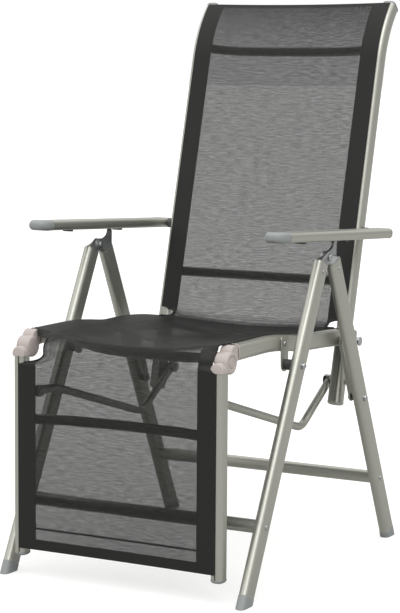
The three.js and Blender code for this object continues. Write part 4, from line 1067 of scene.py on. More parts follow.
pin_low, pin_high = span("back_pivot_pin_left", 0)
base, shoulder, flange = pin_low + PIN_BASE, flat_x + SHOULDER_OUT, pin_high - FLANGE_WIDTH
pin = lathe(
    head(base, *BACK_HEAD)
    + [(base, SHAFT_RADIUS), (shoulder, SHAFT_RADIUS), (shoulder, SHOULDER_RADIUS),
       (flange, SHOULDER_RADIUS), (flange, FLANGE_RADIUS),
       (pin_high - FLANGE_EASE[0], FLANGE_RADIUS), (pin_high, FLANGE_RADIUS - FLANGE_EASE[1])],
    back_pivot,
)
place_pair("back_pin", pin, steel, "back_pivots", ["back_pivot_pin"], PIN_BEVEL)
print("back pin:", round((pin_high - pin_low) / MM, 1), "mm long")

# %% [markdown]
# ## Footrest links
#
# A bent round bar on each side lifts the footrest as the back goes down. Its ends are
# pressed into flat eyes. It runs level from the front pin, slopes down and then turns up
# to the tail of the back. The path is four corners with the inner two rounded off, and
# the outline goes over from round to flat near each eye.

# %% The path of a link
LINK_RADIUS, EYE_RADIUS, EYE_WIDTH, EYE_DEPTH = 8 * MM, 12 * MM, 9 * MM, 20 * MM
LINK_GAP, LINK_BEND, LINK_STEP = 11 * MM, 45 * MM, 5 * MM
LINK_LEVEL, LINK_LOW = Vector((0, 56, -1)) * MM, Vector((0, 387, -102)) * MM

link_x = back_x - RAIL_WIDTH / 2 - LINK_GAP
offset = knee - back_pivot
link_front = Vector((link_x, link_pin.y + offset.y, link_pin.z + offset.z))
link_rear = Vector((link_x, *link_pin.yz))


def rounded_path(corners, radius, steps=8):
    """Path whose inner corners are rounded off."""
    path = [corners[0]]
    for before, corner, after in zip(corners, corners[1:], corners[2:]):
        to_front, to_rear = (before - corner).normalized(), (after - corner).normalized()
        half = to_front.angle(to_rear) / 2
        centre = corner + (to_front + to_rear).normalized() * (radius / math.sin(half))
        start = corner + to_front * (radius / math.tan(half)) - centre
        end = corner + to_rear * (radius / math.tan(half)) - centre
        start, end = start.normalized(), end.normalized()
        path += [centre + start.slerp(end, step / steps) * radius for step in range(steps + 1)]
    return path + [corners[-1]]


path = rounded_path([link_front, link_front + LINK_LEVEL, link_front + LINK_LOW, link_rear],
                    LINK_BEND)
dense = []
for a, b in zip(path, path[1:]):
    pieces = max(round((b - a).length / LINK_STEP), 1)
    dense += [a.lerp(b, step / pieces) for step in range(pieces)]
dense.append(path[-1])
print("link:", round((link_rear - link_front).length / MM, 1), "mm between its pins")

# %% [markdown]
# ## The bar, its eyes and its pins
#
# The bar is swept over the dense path. Each eye is a short turned disc that the flattened
# end runs into. A stub holds the front eye at the footrest's rail, and a bolt with a broad
# washer holds the rear eye at the tail of the back.

# %% Link bars, stubs and bolts
PRESSED_END, PRESSED_LENGTH, NEARLY_ROUND = 12 * MM, 22 * MM, 0.499
EYE_EDGE = 1 * MM
STUB_HEAD, STUB_GAP = (-3 * MM, 7 * MM), 0.4 * MM
LINK_WASHER_RADIUS, LINK_WASHER_THICKNESS = 12 * MM, 4 * MM
LINK_HEAD, LINK_NUT, NUT_GAP = (-3 * MM, 8 * MM), (5 * MM, 6.5 * MM), 0.3 * MM


def pressed(distance):
    """Outline of the bar: round, but flat and broad near an eye."""
    flat = 1 - ease(clamp((distance - PRESSED_END) / PRESSED_LENGTH))
    width = mix(2 * LINK_RADIUS, EYE_WIDTH, flat)
    return rounded_rect(width, mix(2 * LINK_RADIUS, EYE_DEPTH, flat), width * NEARLY_ROUND)


eye_low, eye_high = link_x - EYE_WIDTH / 2, link_x + EYE_WIDTH / 2
eye_profile = [(eye_low, EYE_RADIUS - EYE_EDGE), (eye_low + EYE_EDGE, EYE_RADIUS),
               (eye_high - EYE_EDGE, EYE_RADIUS), (eye_high, EYE_RADIUS - EYE_EDGE)]
outlines = [pressed(min((p - dense[0]).length, (p - dense[-1]).length)) for p in dense]
eyes = [lathe(eye_profile, p) for p in (link_front, link_rear)]
place_pair("link_bar", merge(sweep(dense, outlines), *eyes), aluminium, "link",
           ["footrest_link"])
stub = lathe(head(eye_low, *STUB_HEAD)
             + [(link_x, BOLT_RADIUS), (foot_inner - STUB_GAP, BOLT_RADIUS)], link_front)
place_pair("link_stub", stub, steel, "link")
washer_end = eye_low - STUB_GAP
washer_start = washer_end - LINK_WASHER_THICKNESS
nut = back_x + RAIL_WIDTH / 2 + NUT_GAP
pin = lathe(
    head(washer_start, *LINK_HEAD)
    + [(washer_start, LINK_WASHER_RADIUS), (washer_end, LINK_WASHER_RADIUS),
       (washer_end, BOLT_RADIUS), (nut, BOLT_RADIUS)] + head(nut, *LINK_NUT), link_pin,
)
place_pair("link_bolt", pin, steel, "link_pin", ["link_pin"])
print("rings in a link:", len(dense))

# %% [markdown]
# ## Armrests
#
# The armrest is a broad flat tube with an open slot below, and the rack in the slot has
# notches that set how far the back leans. We draw one C-shaped outline with its inner wall
# and sweep it. Its tilt follows from the blade that it lies on and the pin behind it.

# %% Armrest tubes
ARM_WIDTH, ARM_DEPTH, ARM_ROUND, ARM_WALL, ARM_SLOT = 50 * MM, 20 * MM, 8.5 * MM, 2 * MM, 22 * MM
ARM_FRONT, ARM_REAR, ARM_CAP = 452 * MM, 24 * MM, 18 * MM
REST_SINK, REST_GAP = 1 * MM, 0.3 * MM

fin_top = Vector((0, hinge.y + FIN_SETBACK, hinge.z + FIN_RISE))
run, rise = arm_pivot.y - fin_top.y, fin_top.z - arm_pivot.z
rest = ARM_DEPTH / 2 - REST_SINK + FIN_WIDTH / 2 + REST_GAP
arm_tilt = math.atan2(rise, run) + math.asin(rest / math.hypot(run, rise))
arm_back = Vector((0, math.cos(arm_tilt), -math.sin(arm_tilt)))
arm_up = Vector((0, math.sin(arm_tilt), math.cos(arm_tilt)))


def on_arm(along, above=0.0):
    """Point of the left armrest: along it from its pivot, and above its middle."""
    base = Vector((leg_x, arm_pivot.y, arm_pivot.z))
    return base + arm_back * along + arm_up * above


def turned_from(points, start):
    return points[start:] + points[:start]


# Along the arm to the rear, the outline's second axis points down
outer = rounded_rect(ARM_WIDTH, ARM_DEPTH, ARM_ROUND)
inner = rounded_rect(ARM_WIDTH - 2 * ARM_WALL, ARM_DEPTH - 2 * ARM_WALL, ARM_ROUND - ARM_WALL)
quarter = len(outer) // 4
lip, low, inner_low = ARM_SLOT / 2, ARM_DEPTH / 2, ARM_DEPTH / 2 - ARM_WALL
c_outline = [(-lip, low)] + turned_from(outer, quarter) + [(lip, low), (lip, inner_low)]
c_outline += list(reversed(turned_from(inner, quarter))) + [(-lip, inner_low)]
arm = bar([on_arm(-ARM_FRONT), on_arm(ARM_REAR - ARM_CAP)], c_outline)
place_pair("armrest_tube", arm, aluminium, "armrest", ["armrest"], crease=TUBE_CREASE)
print("armrest tilts", round(math.degrees(arm_tilt), 2), "degrees")

# %% [markdown]
# ## Ends of the armrests
#
# Plastic fills both ends: a long grey nose where the hand rests, and a short cap behind.
# Both narrow like an ellipsoid, but start from the armrest's own outline, so the step
# between metal and plastic is only a thin line.

# %% Noses and rear caps
NOSE, NOSE_GAP = 36 * MM, 0.4 * MM
END_TURN, END_SWELL = math.radians(86), 0.14
END_WIDE, END_THICK, END_CORNER = 0.7, 0.5, 2.05


def rounded_end(start, ahead, length, steps=10):
    """End that narrows like an ellipsoid and swells a little just before."""
    path, outlines = [], []
    for step in range(steps + 1):
        turn = END_TURN * step / steps
        swell = 1 + END_SWELL * math.sin(2 * turn)
        wide = ARM_WIDTH * math.cos(turn) ** END_WIDE
        thick = ARM_DEPTH * swell * math.cos(turn) ** END_THICK
        path.append(start + ahead * (length * math.sin(turn)))
        corner = min(ARM_ROUND, thick / END_CORNER, wide / END_CORNER)
        outlines.append(rounded_rect(wide, thick, corner))
    return sweep(path, outlines, ahead=ahead)


nose = rounded_end(on_arm(-ARM_FRONT - NOSE_GAP), -arm_back, NOSE)
place_pair("armrest_nose_cap", nose, nose_plastic, "armrest", ["armrest_nose"])
rear_cap = rounded_end(on_arm(ARM_REAR - ARM_CAP + NOSE_GAP), arm_back, ARM_CAP)
place_pair("armrest_rear_cap", rear_cap, aluminium, "armrest")
print("armrest:", round((ARM_FRONT + NOSE + ARM_REAR) / MM), "mm with both ends")

# %% [markdown]
# ## Racks
#
# A nylon comb fills the slot. Its sloping teeth catch the blade when the armrest is let
# down, and let it pass when it is lifted. One tooth is four points, and a loop repeats it.

# %% Racks
RACK_FRONT, RACK_REAR, RACK_FOOT, TEETH = 371 * MM, 167 * MM, 12 * MM, 9
RACK_TOP, RACK_HALF, RACK_BEVEL = 7 * MM, 9 * MM, 0.5 * MM
TOOTH, RACK_EASE, RACK_CORNER = 5 * MM, 1 * MM, 2 * MM
TOOTH_SHARES = ((0, 0), (0.45, 0), (0.6, 1), (0.95, 1))

tips = -ARM_DEPTH / 2 + MM
stop = tips - TOOTH
pitch = (RACK_FRONT - RACK_REAR - 2 * RACK_FOOT) / TEETH
profile = [(-RACK_REAR, RACK_TOP), (-RACK_FRONT, RACK_TOP), (-RACK_FRONT, stop + RACK_EASE),
           (-RACK_FRONT + RACK_CORNER, stop), (-RACK_FRONT + RACK_FOOT, stop)]
for tooth in range(TEETH):
    start = -RACK_FRONT + RACK_FOOT + tooth * pitch
    profile += [(start + pitch * s, tips + TOOTH * (1 - r)) for s, r in TOOTH_SHARES]
profile += [(-RACK_REAR - RACK_FOOT, stop), (-RACK_REAR - RACK_CORNER, stop),
            (-RACK_REAR, stop + RACK_EASE)]
outline = [tuple(on_arm(along, above).yz) for along, above in profile]
place_pair("armrest_rack_comb", plate(outline, leg_x - RACK_HALF, leg_x + RACK_HALF),
           dark_plastic, "armrest", ["armrest_rack"], RACK_BEVEL)
print("rack pitch:", round(pitch / MM, 2), "mm")

# %% [markdown]
# ## Arm bolts
#
# Each armrest turns on a bolt through the back rail, and a spacer keeps the two apart.
# Bolt and spacer are nearly black, and we see them as one piece, so we turn them as one.

# %% Arm bolts
ARM_HEAD, ARM_HEAD_GAP, ARM_SPACER_GAP = (-5 * MM, 7.5 * MM), 0.3 * MM, 0.4 * MM
ARM_SPACER_RADIUS, ARM_SPACER_STEP, ARM_BOLT_IN = 10.5 * MM, 1.5 * MM, 6 * MM

rail_back = back_x - RAIL_WIDTH / 2 - ARM_HEAD_GAP
near, far = back_x + RAIL_WIDTH / 2 + ARM_SPACER_GAP, leg_x - ARM_WIDTH / 2 - ARM_SPACER_GAP
pin = lathe(
    head(rail_back, *ARM_HEAD)
    + [(rail_back, BOLT_RADIUS), (near, BOLT_RADIUS),
       (near, ARM_SPACER_RADIUS - ARM_SPACER_STEP), (near + SPACER_EDGE, ARM_SPACER_RADIUS),
       (far - SPACER_EDGE, ARM_SPACER_RADIUS), (far, ARM_SPACER_RADIUS - ARM_SPACER_STEP),
       (far, BOLT_RADIUS), (far + ARM_SPACER_GAP + ARM_BOLT_IN, BOLT_RADIUS)], arm_pivot,
)
place_pair("arm_spacer_bolt", pin, dark_plastic, "arm_bolt", ["arm_bolt"])
print("arm spacer:", round((far - near) / MM, 1), "mm wide")

# %% [markdown]
# ## The cloth, seen from the side
#
# One long strip of mesh cloth runs from the head over the seat and down to the foot. Its
# edges are locked in the rails. We walk down its side view, with short steps where it
# bends, because only there do short steps show.
#
# The frame bends in two places, so the cloth is four pieces that meet there.

# %% Places on the cloth's side line
THIN = 1.2 * MM
CORNER, CORNER_UP, CORNER_LIFT = 18 * MM, 21 * MM, 1 * MM
ROLL = 36 * MM

back_lift = -(RAIL_DEPTH / 2 + THIN)
foot_lift = -(FOOT_DEPTH / 2 + THIN)
seat_top = seat_height + RAIL_DEPTH / 2 + THIN
roll_y = on_foot(foot_top, foot_lift).y + ROLL
roll_z = seat_top - ROLL


def seat_surface(y):
    _, height, depth = seat_rail_at(y)
    return Vector((0, y, height + depth / 2 + THIN))


crossing = on_back(CORNER_UP, back_lift)
corner_back = on_back(CORNER_UP + CORNER, back_lift)
corner_seat = seat_surface(crossing.y - CORNER)
crossing.z = corner_seat.z + CORNER_LIFT


def corner_point(t):
    """Point on the round corner between back and seat, from 0 at the back to 1."""
    return corner_back * (1 - t) ** 2 + crossing * (2 * t * (1 - t)) + corner_seat * t * t


print("seat cloth lies", round((seat_top - seat_height) / MM, 1), "mm above the rail's middle")

# %% [markdown]
# ## Four side lines
#
# The four lines share their end points, so the pieces meet without a gap. Round the knee
# the cloth follows a quarter of a circle, half on the seat's piece and half on the
# footrest's.

# %% Side lines of the four pieces
FINE, COARSE = 2.5 * MM, 11 * MM
HEAD_END, WAIST = back_top - 3 * MM, 110 * MM
REAR_BEND, KNEE_BEND, FOOT_BEND = 60 * MM, 90 * MM, 40 * MM
CORNER_STEPS = 20
HEM_LOW = span("footrest_sling", 2)[0]


def steps_between(start, end, size):
    count = max(round(abs(end - start) / size), 1)
    return [mix(start, end, step / count) for step in range(count + 1)]


def knee_arc(start, end):
    return [Vector((0, y, z)) for y, z in arc((roll_y, roll_z), ROLL, start, end, 8)]


corner = [corner_point(step / CORNER_STEPS) for step in range(CORNER_STEPS + 1)]
back_line = [on_back(along, back_lift) for along in
             steps_between(HEAD_END, STRAIGHT, COARSE)
             + steps_between(STRAIGHT, WAIST, COARSE)[1:]
             + steps_between(WAIST, CORNER_UP + CORNER, FINE)[1:]]
back_line += corner[1:CORNER_STEPS // 2 + 1]
rear_bend_y = corner_seat.y - REAR_BEND
seat_middle = (seat_pivot.y + back_pivot.y) / 2
rear_line = corner[CORNER_STEPS // 2:]
rear_line += [seat_surface(y) for y in steps_between(corner_seat.y, rear_bend_y, FINE)[1:]]
rear_line += [seat_surface(y) for y in steps_between(rear_bend_y, seat_middle, COARSE)[1:]]
knee_bend_y = knee.y + KNEE_BEND
front_line = [seat_surface(y) for y in steps_between(seat_middle, knee_bend_y, COARSE)]
front_line += [seat_surface(y) for y in steps_between(knee_bend_y, roll_y, FINE)[1:]]
front_line += knee_arc(90, 135)[1:]
foot_line = knee_arc(135, 180)
foot_bend_z = foot_top - FOOT_BEND
foot_line += [on_foot(z, foot_lift) for z in steps_between(roll_z, foot_bend_z, FINE)[1:]]
foot_line += [on_foot(z, foot_lift) for z in steps_between(foot_bend_z, HEM_LOW, COARSE)[1:]]
print("rows of cloth:", [len(line) for line in (back_line, rear_line, front_line, foot_line)])

# %% [markdown]
# ## Where the cloth is narrower
#
# The cloth is cut away at the corner of the seat and at the knees, where the frame folds.
# Round the left knee it stays close to the knuckle, and on the right it is cut out
# deeper. Behind the strap it follows the seat rail outward. One function gives the half
# width of the cloth at any point of its side line.

# %% Half width of the cloth
KNEE_NECK, SEAT_NECK = {"left": 205.5 * MM, "right": 168 * MM}, 186 * MM
NECK_LOW = {"left": foot_top + 4 * MM, "right": foot_top - 6 * MM}
NECK_ZONE, NECK_START, NECK_LENGTH, NECK_ROUND = 40 * MM, 30 * MM, 48 * MM, 20 * MM
NOTCH_TOP, NOTCH_FRONT, NOTCH_ROUND, NOTCH_ZONE = 40 * MM, 22 * MM, 9 * MM, 5 * MM


def quarter_round(distance, wide, narrow, radius):
    """Half width at a distance into a cut-out whose corner is a quarter of an ellipse."""
    if distance <= 0:
        return wide
    if distance >= radius:
        return narrow
    return narrow + (wide - narrow) * (1 - math.sqrt(1 - (1 - distance / radius) ** 2))


def half_at_knee(point, side):
    neck = KNEE_NECK[side]
    narrowing = ease(clamp((roll_y + NECK_START - point.y) / NECK_LENGTH))
    top = mix(CLOTH_HALF, neck, narrowing)
    low = quarter_round(point.z - NECK_LOW[side], CLOTH_HALF, neck, NECK_ROUND)
    return max(top, low) if point.z < roll_z else top


def half_on_seat(y):
    return seat_rail_at(y)[0] - (front_x - CLOTH_HALF)


def half_width(point, side="left"):
    if point.y < roll_y + NECK_ZONE and point.z > NECK_LOW[side]:
        return half_at_knee(point, side)
    if point.z < roll_z:
        return CLOTH_HALF
    along = (point - back_pivot).dot(Vector((0, math.sin(LEAN), math.cos(LEAN))))
    if along > CORNER and point.y > crossing.y - NOTCH_ZONE:
        return quarter_round(NOTCH_TOP - along, CLOTH_HALF, SEAT_NECK, NOTCH_ROUND)
    notch_y = crossing.y - NOTCH_FRONT
    if point.y > notch_y:
        return quarter_round(point.y - notch_y, half_on_seat(notch_y), SEAT_NECK, NOTCH_ROUND)
    return half_on_seat(point.y)


knee_halves = [half_width(foot_line[0], side) for side in ("left", "right")]
print("half widths at the knee, mm:", [round(half / MM, 1) for half in knee_halves])

# %% [markdown]
# ## How far the cloth hangs
#
# Stretched cloth still hangs a little between its rails: most at the front of the seat,
# where people sit, and hardly at the back and the footrest. We give the depth of the
# hang at each place, and ease from one to the next.

# %% Slack of the cloth
SEAT_SAG, REAR_SAG, BACK_SAG, FOOT_SAG = 34 * MM, 20 * MM, 4 * MM, 3 * MM
BACK_FROM, SLACK_FRONT, SLACK_REAR, SLACK_ZONE = 40 * MM, 60 * MM, 30 * MM, 10 * MM


def slack(point):
    """How far the middle of the cloth lies below or behind its edges."""
    if point.z > back_pivot.z + BACK_FROM and point.y > crossing.y - SLACK_ZONE:
        return BACK_SAG
    if point.z < roll_z:
        return FOOT_SAG
    if point.y < roll_y:
        share = (point.y - roll_y + ROLL) / ROLL
        return mix(FOOT_SAG, SEAT_SAG / 2, ease(max(share, 0)))
    front = ease(min((point.y - roll_y) / SLACK_FRONT, 1))
    rear = (point.y - roll_y) / (corner_seat.y - roll_y)
    sag = mix(mix(SEAT_SAG / 2, SEAT_SAG, front), REAR_SAG, min(rear, 1))
    gone = ease(clamp((point.y - corner_seat.y + SLACK_REAR) / (2 * SLACK_REAR)))
    return mix(sag, BACK_SAG, gone)


print("deepest hang:", round(max(slack(point) for point in front_line) / MM, 1), "mm")

# %% [markdown]
# ## Pieces of cloth
#
# Each piece is a grid: its rows follow the side line and its columns run from rail to
# rail. The middle hangs as a parabola, which is the shape of an evenly loaded strip. Near
# the knees the narrowed edge turns down, as cloth does round a knuckle. The UVs are metres
# across and along, counted on through all four pieces.

# %% A piece of cloth
SIDE_COLUMNS, EDGE_SHARES = 9, (0.35, 0.7, 0.93, 1)
FLAT_EDGE, INNER_HALF = 12 * MM, 150 * MM
CLOTH_THICKNESS = 0.7 * MM
EDGE_TURN, TURN_WIDTH, NECK_FREE, NECK_FULL = 12 * MM, 30 * MM, 11 * MM, 3 * MM


def cloth_columns(point):
    """X and half width of each column, from right to left, with the last ones at the edge."""
    columns = [(0.0, half_width(point))]
    for side, sign in (("left", 1), ("right", -1)):
        half = half_width(point, side)
        inside = [INNER_HALF * step / SIDE_COLUMNS for step in range(1, SIDE_COLUMNS + 1)]
        edge = [mix(INNER_HALF, half, share) for share in EDGE_SHARES]
        more = [(sign * x, half) for x in inside + edge]
        columns = columns + more if sign > 0 else list(reversed(more)) + columns
    return columns


def drop_at(point, x, half):
    """How far one point of the cloth lies under its side line."""
    taut = min(abs(x) / (half - FLAT_EDGE), 1)
    at_neck = clamp((CLOTH_HALF - half - NECK_FREE) / NECK_FULL)
    if point.y >= knee.y + NECK_ZONE:
        at_neck = 0
    turned = EDGE_TURN * at_neck * ease(clamp((abs(x) - half + TURN_WIDTH) / TURN_WIDTH))
    return slack(point) * (1 - taut ** 2) + turned


def cloth_grid(line, start_length):
    """Points, UVs, faces, the two edge points of each row, and where the length ends."""
    points, uvs, edge_points = [], [], []
    travelled = start_length
    for index, point in enumerate(line):
        before, after = line[max(index - 1, 0)], line[min(index + 1, len(line) - 1)]
        under = X.cross((after - before).normalized())
        if index:
            travelled += (point - line[index - 1]).length
        row = [Vector((x, point.y, point.z)) + under * drop_at(point, x, half)
               for x, half in cloth_columns(point)]
        points += row
        uvs += [(x, travelled) for x, _ in cloth_columns(point)]
        edge_points.append((row[0], row[-1]))
    columns = len(row)
    corners = [r * columns + c for r in range(len(line) - 1) for c in range(columns - 1)]
    faces = [(a, a + columns, a + columns + 1, a + 1) for a in corners]
    return points, uvs, faces, edge_points, travelled


print("columns of cloth:", len(cloth_columns(back_line[0])))

# %% [markdown]
# ## Cloth and tape
#
# The grid gets a thickness of 0.7 mm. Tape is sewn round the cut-outs, a thin tube on the
# edge wherever the cloth is narrower than usual.

# %% Cloth and tape as objects
TAPE_RADIUS, TAPE_FROM, TAPE_ROWS = 1.8 * MM, 0.5 * MM, 3
TAPE_ACROSS = Vector((0.3, 0.5, 0.8)).normalized()


def cloth_piece(name, line, start_length, nodes):
    """One piece of cloth. Returns it, its two edges and where its length ends."""
    points, uvs, faces, edge_points, travelled = cloth_grid(line, start_length)
    obj = new_object(name, (points, faces), mesh_cloth)
    thick = obj.modifiers.new("thickness", "SOLIDIFY")
    thick.thickness = CLOTH_THICKNESS
    thick.use_rim = False
    layer = obj.data.uv_layers.new(name="cloth")
    for loop in obj.data.loops:
        layer.data[loop.index].uv = uvs[loop.vertex_index]
    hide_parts(*nodes)
    return obj, edge_points, travelled


def edging(name, edge_points, line):
    """Tape sewn round the cut-outs, one tube on each side of the cloth."""
    shapes = []
    for index, side in enumerate(("right", "left")):
        path = [pair[index] for pair, point in zip(edge_points, line)
                if half_width(point, side) < CLOTH_HALF - TAPE_FROM]
        if len(path) > TAPE_ROWS:
            shapes.append(bar(path, circle(TAPE_RADIUS, 8), across=TAPE_ACROSS))
    return new_object(name, merge(*shapes), binding_cloth)


meet_back, meet_knee = corner_point(0.5), foot_line[0]
print("pieces meet at heights, mm:", [round(p.z / MM) for p in (meet_back, meet_knee)])

# %% [markdown]
# ## The four pieces
#
# When the chair folds, a piece of cloth would have to stay on the frame at one end and
# follow the next body at the other. Each piece is listed with the sling of the frame that
# it stands for, its rail, and the two bodies that it would bend between, with a span of
# about 50 mm over which it would blend. At the corner of the seat and at the knees, the
# frame has pins that turn half as far as its other parts, and these are the neighbours
# there. The loop below uses only the side line and the sling: it builds each piece and
# its tape where the chair stands open, and ties them to no body.

# %% The four pieces
CORNER_BLEND, KNEE_BLEND = 55 * MM, 45 * MM
to_back = (corner_back - corner_seat).normalized() * CORNER_BLEND
to_foot = Vector((0, -1, -1)).normalized() * KNEE_BLEND


CLOTHS = (
    ("back_cloth", back_line, "back_sling", "back_rail_tube",
     ("back_pivots", "back", meet_back, meet_back + to_back)),
    ("seat_cloth_rear", rear_line, "seat_sling", "seat_rail_tube",
     ("seat", "back_pivots", meet_back - to_back, meet_back)),
    ("seat_cloth_front", front_line, "seat_sling", "seat_rail_tube",
     ("seat", "knee_pins", meet_knee - to_foot, meet_knee)),
    ("footrest_cloth", foot_line, "footrest_sling", "foot_rail_tube",
     ("knee_pins", "footrest", meet_knee, meet_knee + to_foot)),
)
cloth_length = 0.0
piece_ends = []
for name, line, node, rail_name, bend in CLOTHS:
    cloth, edge_points, cloth_length = cloth_piece(
        name, line, cloth_length, [node])
    piece_ends.append(cloth_length)
    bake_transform(cloth)
    tape = edging(f"{name}_edging", edge_points, line)
    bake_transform(tape)
print("cloth length:", round(cloth_length, 3), "m")

# %% [markdown]
# ## The weave: holes between yarns
#
# The cloth is a plain weave with square holes between the yarns. We can't model a million
# yarns, so the material lets light through at the holes. Its UVs are in metres, and the
# pitch of the weave is written in millimetres. Real yarns lie about 1 mm apart, which
# would blur to grey here, so they are drawn at 1.7 mm.

# %% Holes
PITCH, HOLE, HOLE_SOFT = 1.7 * MM, 0.59, 0.04

weave = mesh_shader.id_data
uv = add_node(weave, "ShaderNodeUVMap", {"uv_map": "cloth"})
axes = add_node(weave, "ShaderNodeSeparateXYZ", inputs={0: uv.outputs[0]})
across, along = axes.outputs["X"], axes.outputs["Y"]
open_shares = []
for axis in (across, along):
    yarns = add_node(weave, "ShaderNodeMath", {"operation": "DIVIDE"}, {0: axis, 1: PITCH})
    zigzag = add_node(weave, "ShaderNodeMath", {"operation": "PINGPONG"},
                      {0: yarns.outputs[0], 1: 0.5})
    gap = add_node(weave, "ShaderNodeMapRange", {"interpolation_type": "SMOOTHSTEP"}, {
        "Value": zigzag.outputs[0],
        "From Min": (1 - HOLE) / 2 - HOLE_SOFT, "From Max": (1 - HOLE) / 2 + HOLE_SOFT,
    })
    open_shares.append(gap.outputs[0])
print("open part of the weave:", round(HOLE ** 2, 2))

# %% [markdown]
# ## Hems
#
# At the sides and at both ends the cloth is folded over, and a seam crosses it near the
# foot. No light comes through there. Each limit is one comparison along or across the
# cloth, so a small table holds them all.

# %% Hems and the seam
SIDE_HEM, HEAD_HEM, FOOT_HEM = 181 * MM, 9 * MM, 21 * MM
SEAM_GAP, SEAM = 20 * MM, 4 * MM

seam_at = cloth_length - FOOT_HEM - SEAM_GAP - SEAM / 2
from_middle = add_node(weave, "ShaderNodeMath", {"operation": "ABSOLUTE"}, {0: across})
past_seam = add_node(weave, "ShaderNodeMath", {"operation": "SUBTRACT"}, {0: along, 1: seam_at})
from_seam = add_node(weave, "ShaderNodeMath", {"operation": "ABSOLUTE"},
                     {0: past_seam.outputs[0]})
LIMITS = (
    (from_middle.outputs[0], "LESS_THAN", SIDE_HEM),
    (along, "GREATER_THAN", HEAD_HEM),
    (along, "LESS_THAN", cloth_length - FOOT_HEM),
    (from_seam.outputs[0], "GREATER_THAN", SEAM / 2),
)
for place_on, test, limit in LIMITS:
    kept = add_node(weave, "ShaderNodeMath", {"operation": test}, {0: place_on, 1: limit})
    open_shares.append(kept.outputs[0])
print("open width:", round(2 * SIDE_HEM / MM), "mm")

# %% [markdown]
# ## The seat, seen from a low eye
#
# From a low eye the yarns of the seat hide each other, and it looks black. Two thin layers
# of cloth do that only in part, so the gaps of the seat are drawn mostly closed.

# %% Closed gaps on the seat
SEAT_CLOSED = 0.65
SEAT_FROM, SEAT_TO = 10 * MM, 25 * MM

seat_start, seat_end = piece_ends[0] + SEAT_FROM, piece_ends[2] - SEAT_TO
after_back = add_node(weave, "ShaderNodeMath", {"operation": "GREATER_THAN"},
                      {0: along, 1: seat_start})
before_knee = add_node(weave, "ShaderNodeMath", {"operation": "LESS_THAN"},
                       {0: along, 1: seat_end})
on_seat = add_node(weave, "ShaderNodeMath", {"operation": "MULTIPLY"},
                   {0: after_back.outputs[0], 1: before_knee.outputs[0]})
seat_open = add_node(weave, "ShaderNodeMath", {"operation": "MULTIPLY_ADD"},
                     {0: on_seat.outputs[0], 1: -SEAT_CLOSED, 2: 1.0})
open_shares.append(seat_open.outputs[0])
print("seat, along the cloth, mm:", round(seat_start / MM), "to", round(seat_end / MM))

# %% [markdown]
# ## Uneven yarns
#
# No yarn is quite even. A stretched noise closes some gaps a little and draws faint lines
# across the cloth, about 20 mm long and 2 mm high. At last all the shares are multiplied,
# and what is not open is cloth.

# %% Slubs, and the opacity of the cloth
SLUB_LENGTH, SLUB_HEIGHT = 1 / 45, 1 / 420
SLUB_LOW, SLUB_HIGH, SLUB_OPEN = 0.3, 0.7, 0.85

stretched = add_node(weave, "ShaderNodeMapping", inputs={
    "Vector": uv.outputs[0], "Scale": (1 / SLUB_LENGTH, 1 / SLUB_HEIGHT, 1),
})
slubs = add_node(weave, "ShaderNodeTexNoise", {"noise_dimensions": "2D"}, {
    "Vector": stretched.outputs[0], "Scale": 1.0, "Detail": 1.0,
})
uneven = add_node(weave, "ShaderNodeMapRange", inputs={
    "Value": slubs.outputs[0], "From Min": SLUB_LOW, "From Max": SLUB_HIGH,
    "To Min": SLUB_OPEN, "To Max": 1.0,
})
open_part = uneven.outputs[0]
for share in open_shares:
    product = add_node(weave, "ShaderNodeMath", {"operation": "MULTIPLY"},
                       {0: open_part, 1: share})
    open_part = product.outputs[0]
opacity = add_node(weave, "ShaderNodeMath", {"operation": "SUBTRACT"}, {0: 1.0, 1: open_part})
weave.links.new(opacity.outputs[0], mesh_shader.inputs["Alpha"])
print("nodes in the mesh cloth:", len(weave.nodes))

# %% [markdown]
# ## Floor
#
# The chair stands on white paper, as in a catalogue. The paper gets some light of its own
# in the camera's eyes only, so it meets the white behind it without an edge and keeps the
# chair's faint shadow. For everything else it is plain paper, and no more light falls on
# the chair.

# %% Floor
FLOOR_HALF = 40
PAPER_GLOW = 0.62

corners = [Vector((x * FLOOR_HALF, y * FLOOR_HALF, 0)) for x, y in
           ((-1, -1), (1, -1), (1, 1), (-1, 1))]
# Uncoated paper, pressed smooth: white to the eye and without any sheen
paper, paper_shader = new_material("white paper", {
    "Base Color": linear("b4b4b2"), "Roughness": 0.9, "Emission Color": linear("ffffff"),
})
floor = new_object("floor", (corners, [(0, 1, 2, 3)]), paper)
paper_tree = paper_shader.id_data
seen = add_node(paper_tree, "ShaderNodeLightPath")
glow = add_node(paper_tree, "ShaderNodeMath", {"operation": "MULTIPLY"},
                {0: seen.outputs["Is Camera Ray"], 1: PAPER_GLOW})
paper_tree.links.new(glow.outputs[0], paper_shader.inputs["Emission Strength"])
print("floor:", 2 * FLOOR_HALF, "m wide")

# %% [markdown]
# ## Sky
#
# A wide soft sky lights the chair. It is brighter overhead than at the horizon, which gives
# round metal its dark edges. The camera sees plain white instead of it.

# %% Sky
SKY_LOW, SKY_HIGH = 0.05, 0.8
HORIZON, OVERHEAD = 0.4, 1.45

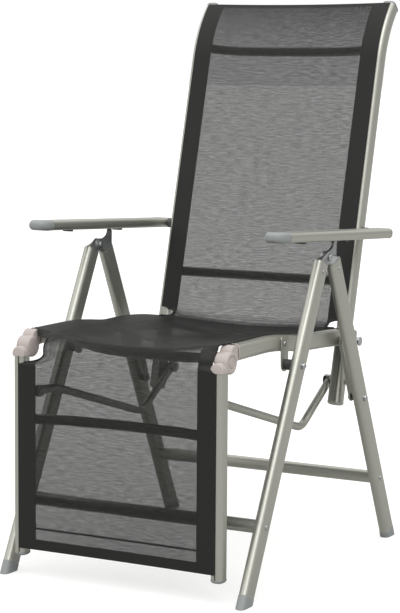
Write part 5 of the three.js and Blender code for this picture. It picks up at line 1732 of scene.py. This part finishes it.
world = bpy.data.worlds.new("studio")
bpy.context.scene.world = world
world.use_nodes = True
sky = world.node_tree
sky.nodes.clear()
seen = add_node(sky, "ShaderNodeLightPath")
way = add_node(sky, "ShaderNodeTexCoord")
height = add_node(sky, "ShaderNodeSeparateXYZ", inputs={0: way.outputs["Generated"]})
dome = add_node(sky, "ShaderNodeMapRange", {"interpolation_type": "SMOOTHSTEP"}, {
    "Value": height.outputs["Z"], "From Min": SKY_LOW, "From Max": SKY_HIGH,
    "To Min": HORIZON, "To Max": OVERHEAD,
})
light = add_node(sky, "ShaderNodeBackground", inputs={
    "Color": linear("f6f6f5"), "Strength": dome.outputs[0],
})
white = add_node(sky, "ShaderNodeBackground", inputs={"Color": linear("ffffff"), "Strength": 1.0})
shown = add_node(sky, "ShaderNodeMixShader", inputs={
    0: seen.outputs["Is Camera Ray"], 1: light.outputs[0], 2: white.outputs[0],
})
add_node(sky, "ShaderNodeOutputWorld", inputs={"Surface": shown.outputs[0]})
print("sky strength:", HORIZON, "to", OVERHEAD)

# %% [markdown]
# ## Lamps and camera
#
# Two very soft suns stand for the large lamps of a studio: one above the front left and a
# weak one from the other side. The camera has a long lens, stands far away and looks
# slightly down, so the far side is hardly smaller than the near side.

# %% Lamps and camera
LENS, SENSOR = 185.2, 36
EYE = Vector((2.035, -3.640, 0.424))
AZIMUTH, PITCH_DOWN = math.radians(29.45), math.radians(7.36)


def add_sun(name, direction, strength, softness):
    lamp = bpy.data.lights.new(name, "SUN")
    lamp.energy = strength
    lamp.angle = math.radians(softness)
    holder = bpy.data.objects.new(name, lamp)
    holder.rotation_euler = Vector(direction).to_track_quat("-Z", "Y").to_euler()
    bpy.context.scene.collection.objects.link(holder)


add_sun("key", (-0.55, 0.75, -1.0), 1.0, 40)
add_sun("fill", (0.9, 0.5, -0.5), 0.3, 70)

lens = bpy.data.cameras.new("camera")
lens.lens = LENS
lens.sensor_width = SENSOR
lens.sensor_fit = "HORIZONTAL"
camera = bpy.data.objects.new("camera", lens)
camera.location = hinge + EYE
camera.rotation_euler = (math.pi / 2 - PITCH_DOWN, 0, AZIMUTH)
bpy.context.scene.collection.objects.link(camera)
bpy.context.scene.camera = camera
bpy.context.scene.view_settings.view_transform = "Standard"
print("camera:", round(EYE.length, 2), "m from the hinge")
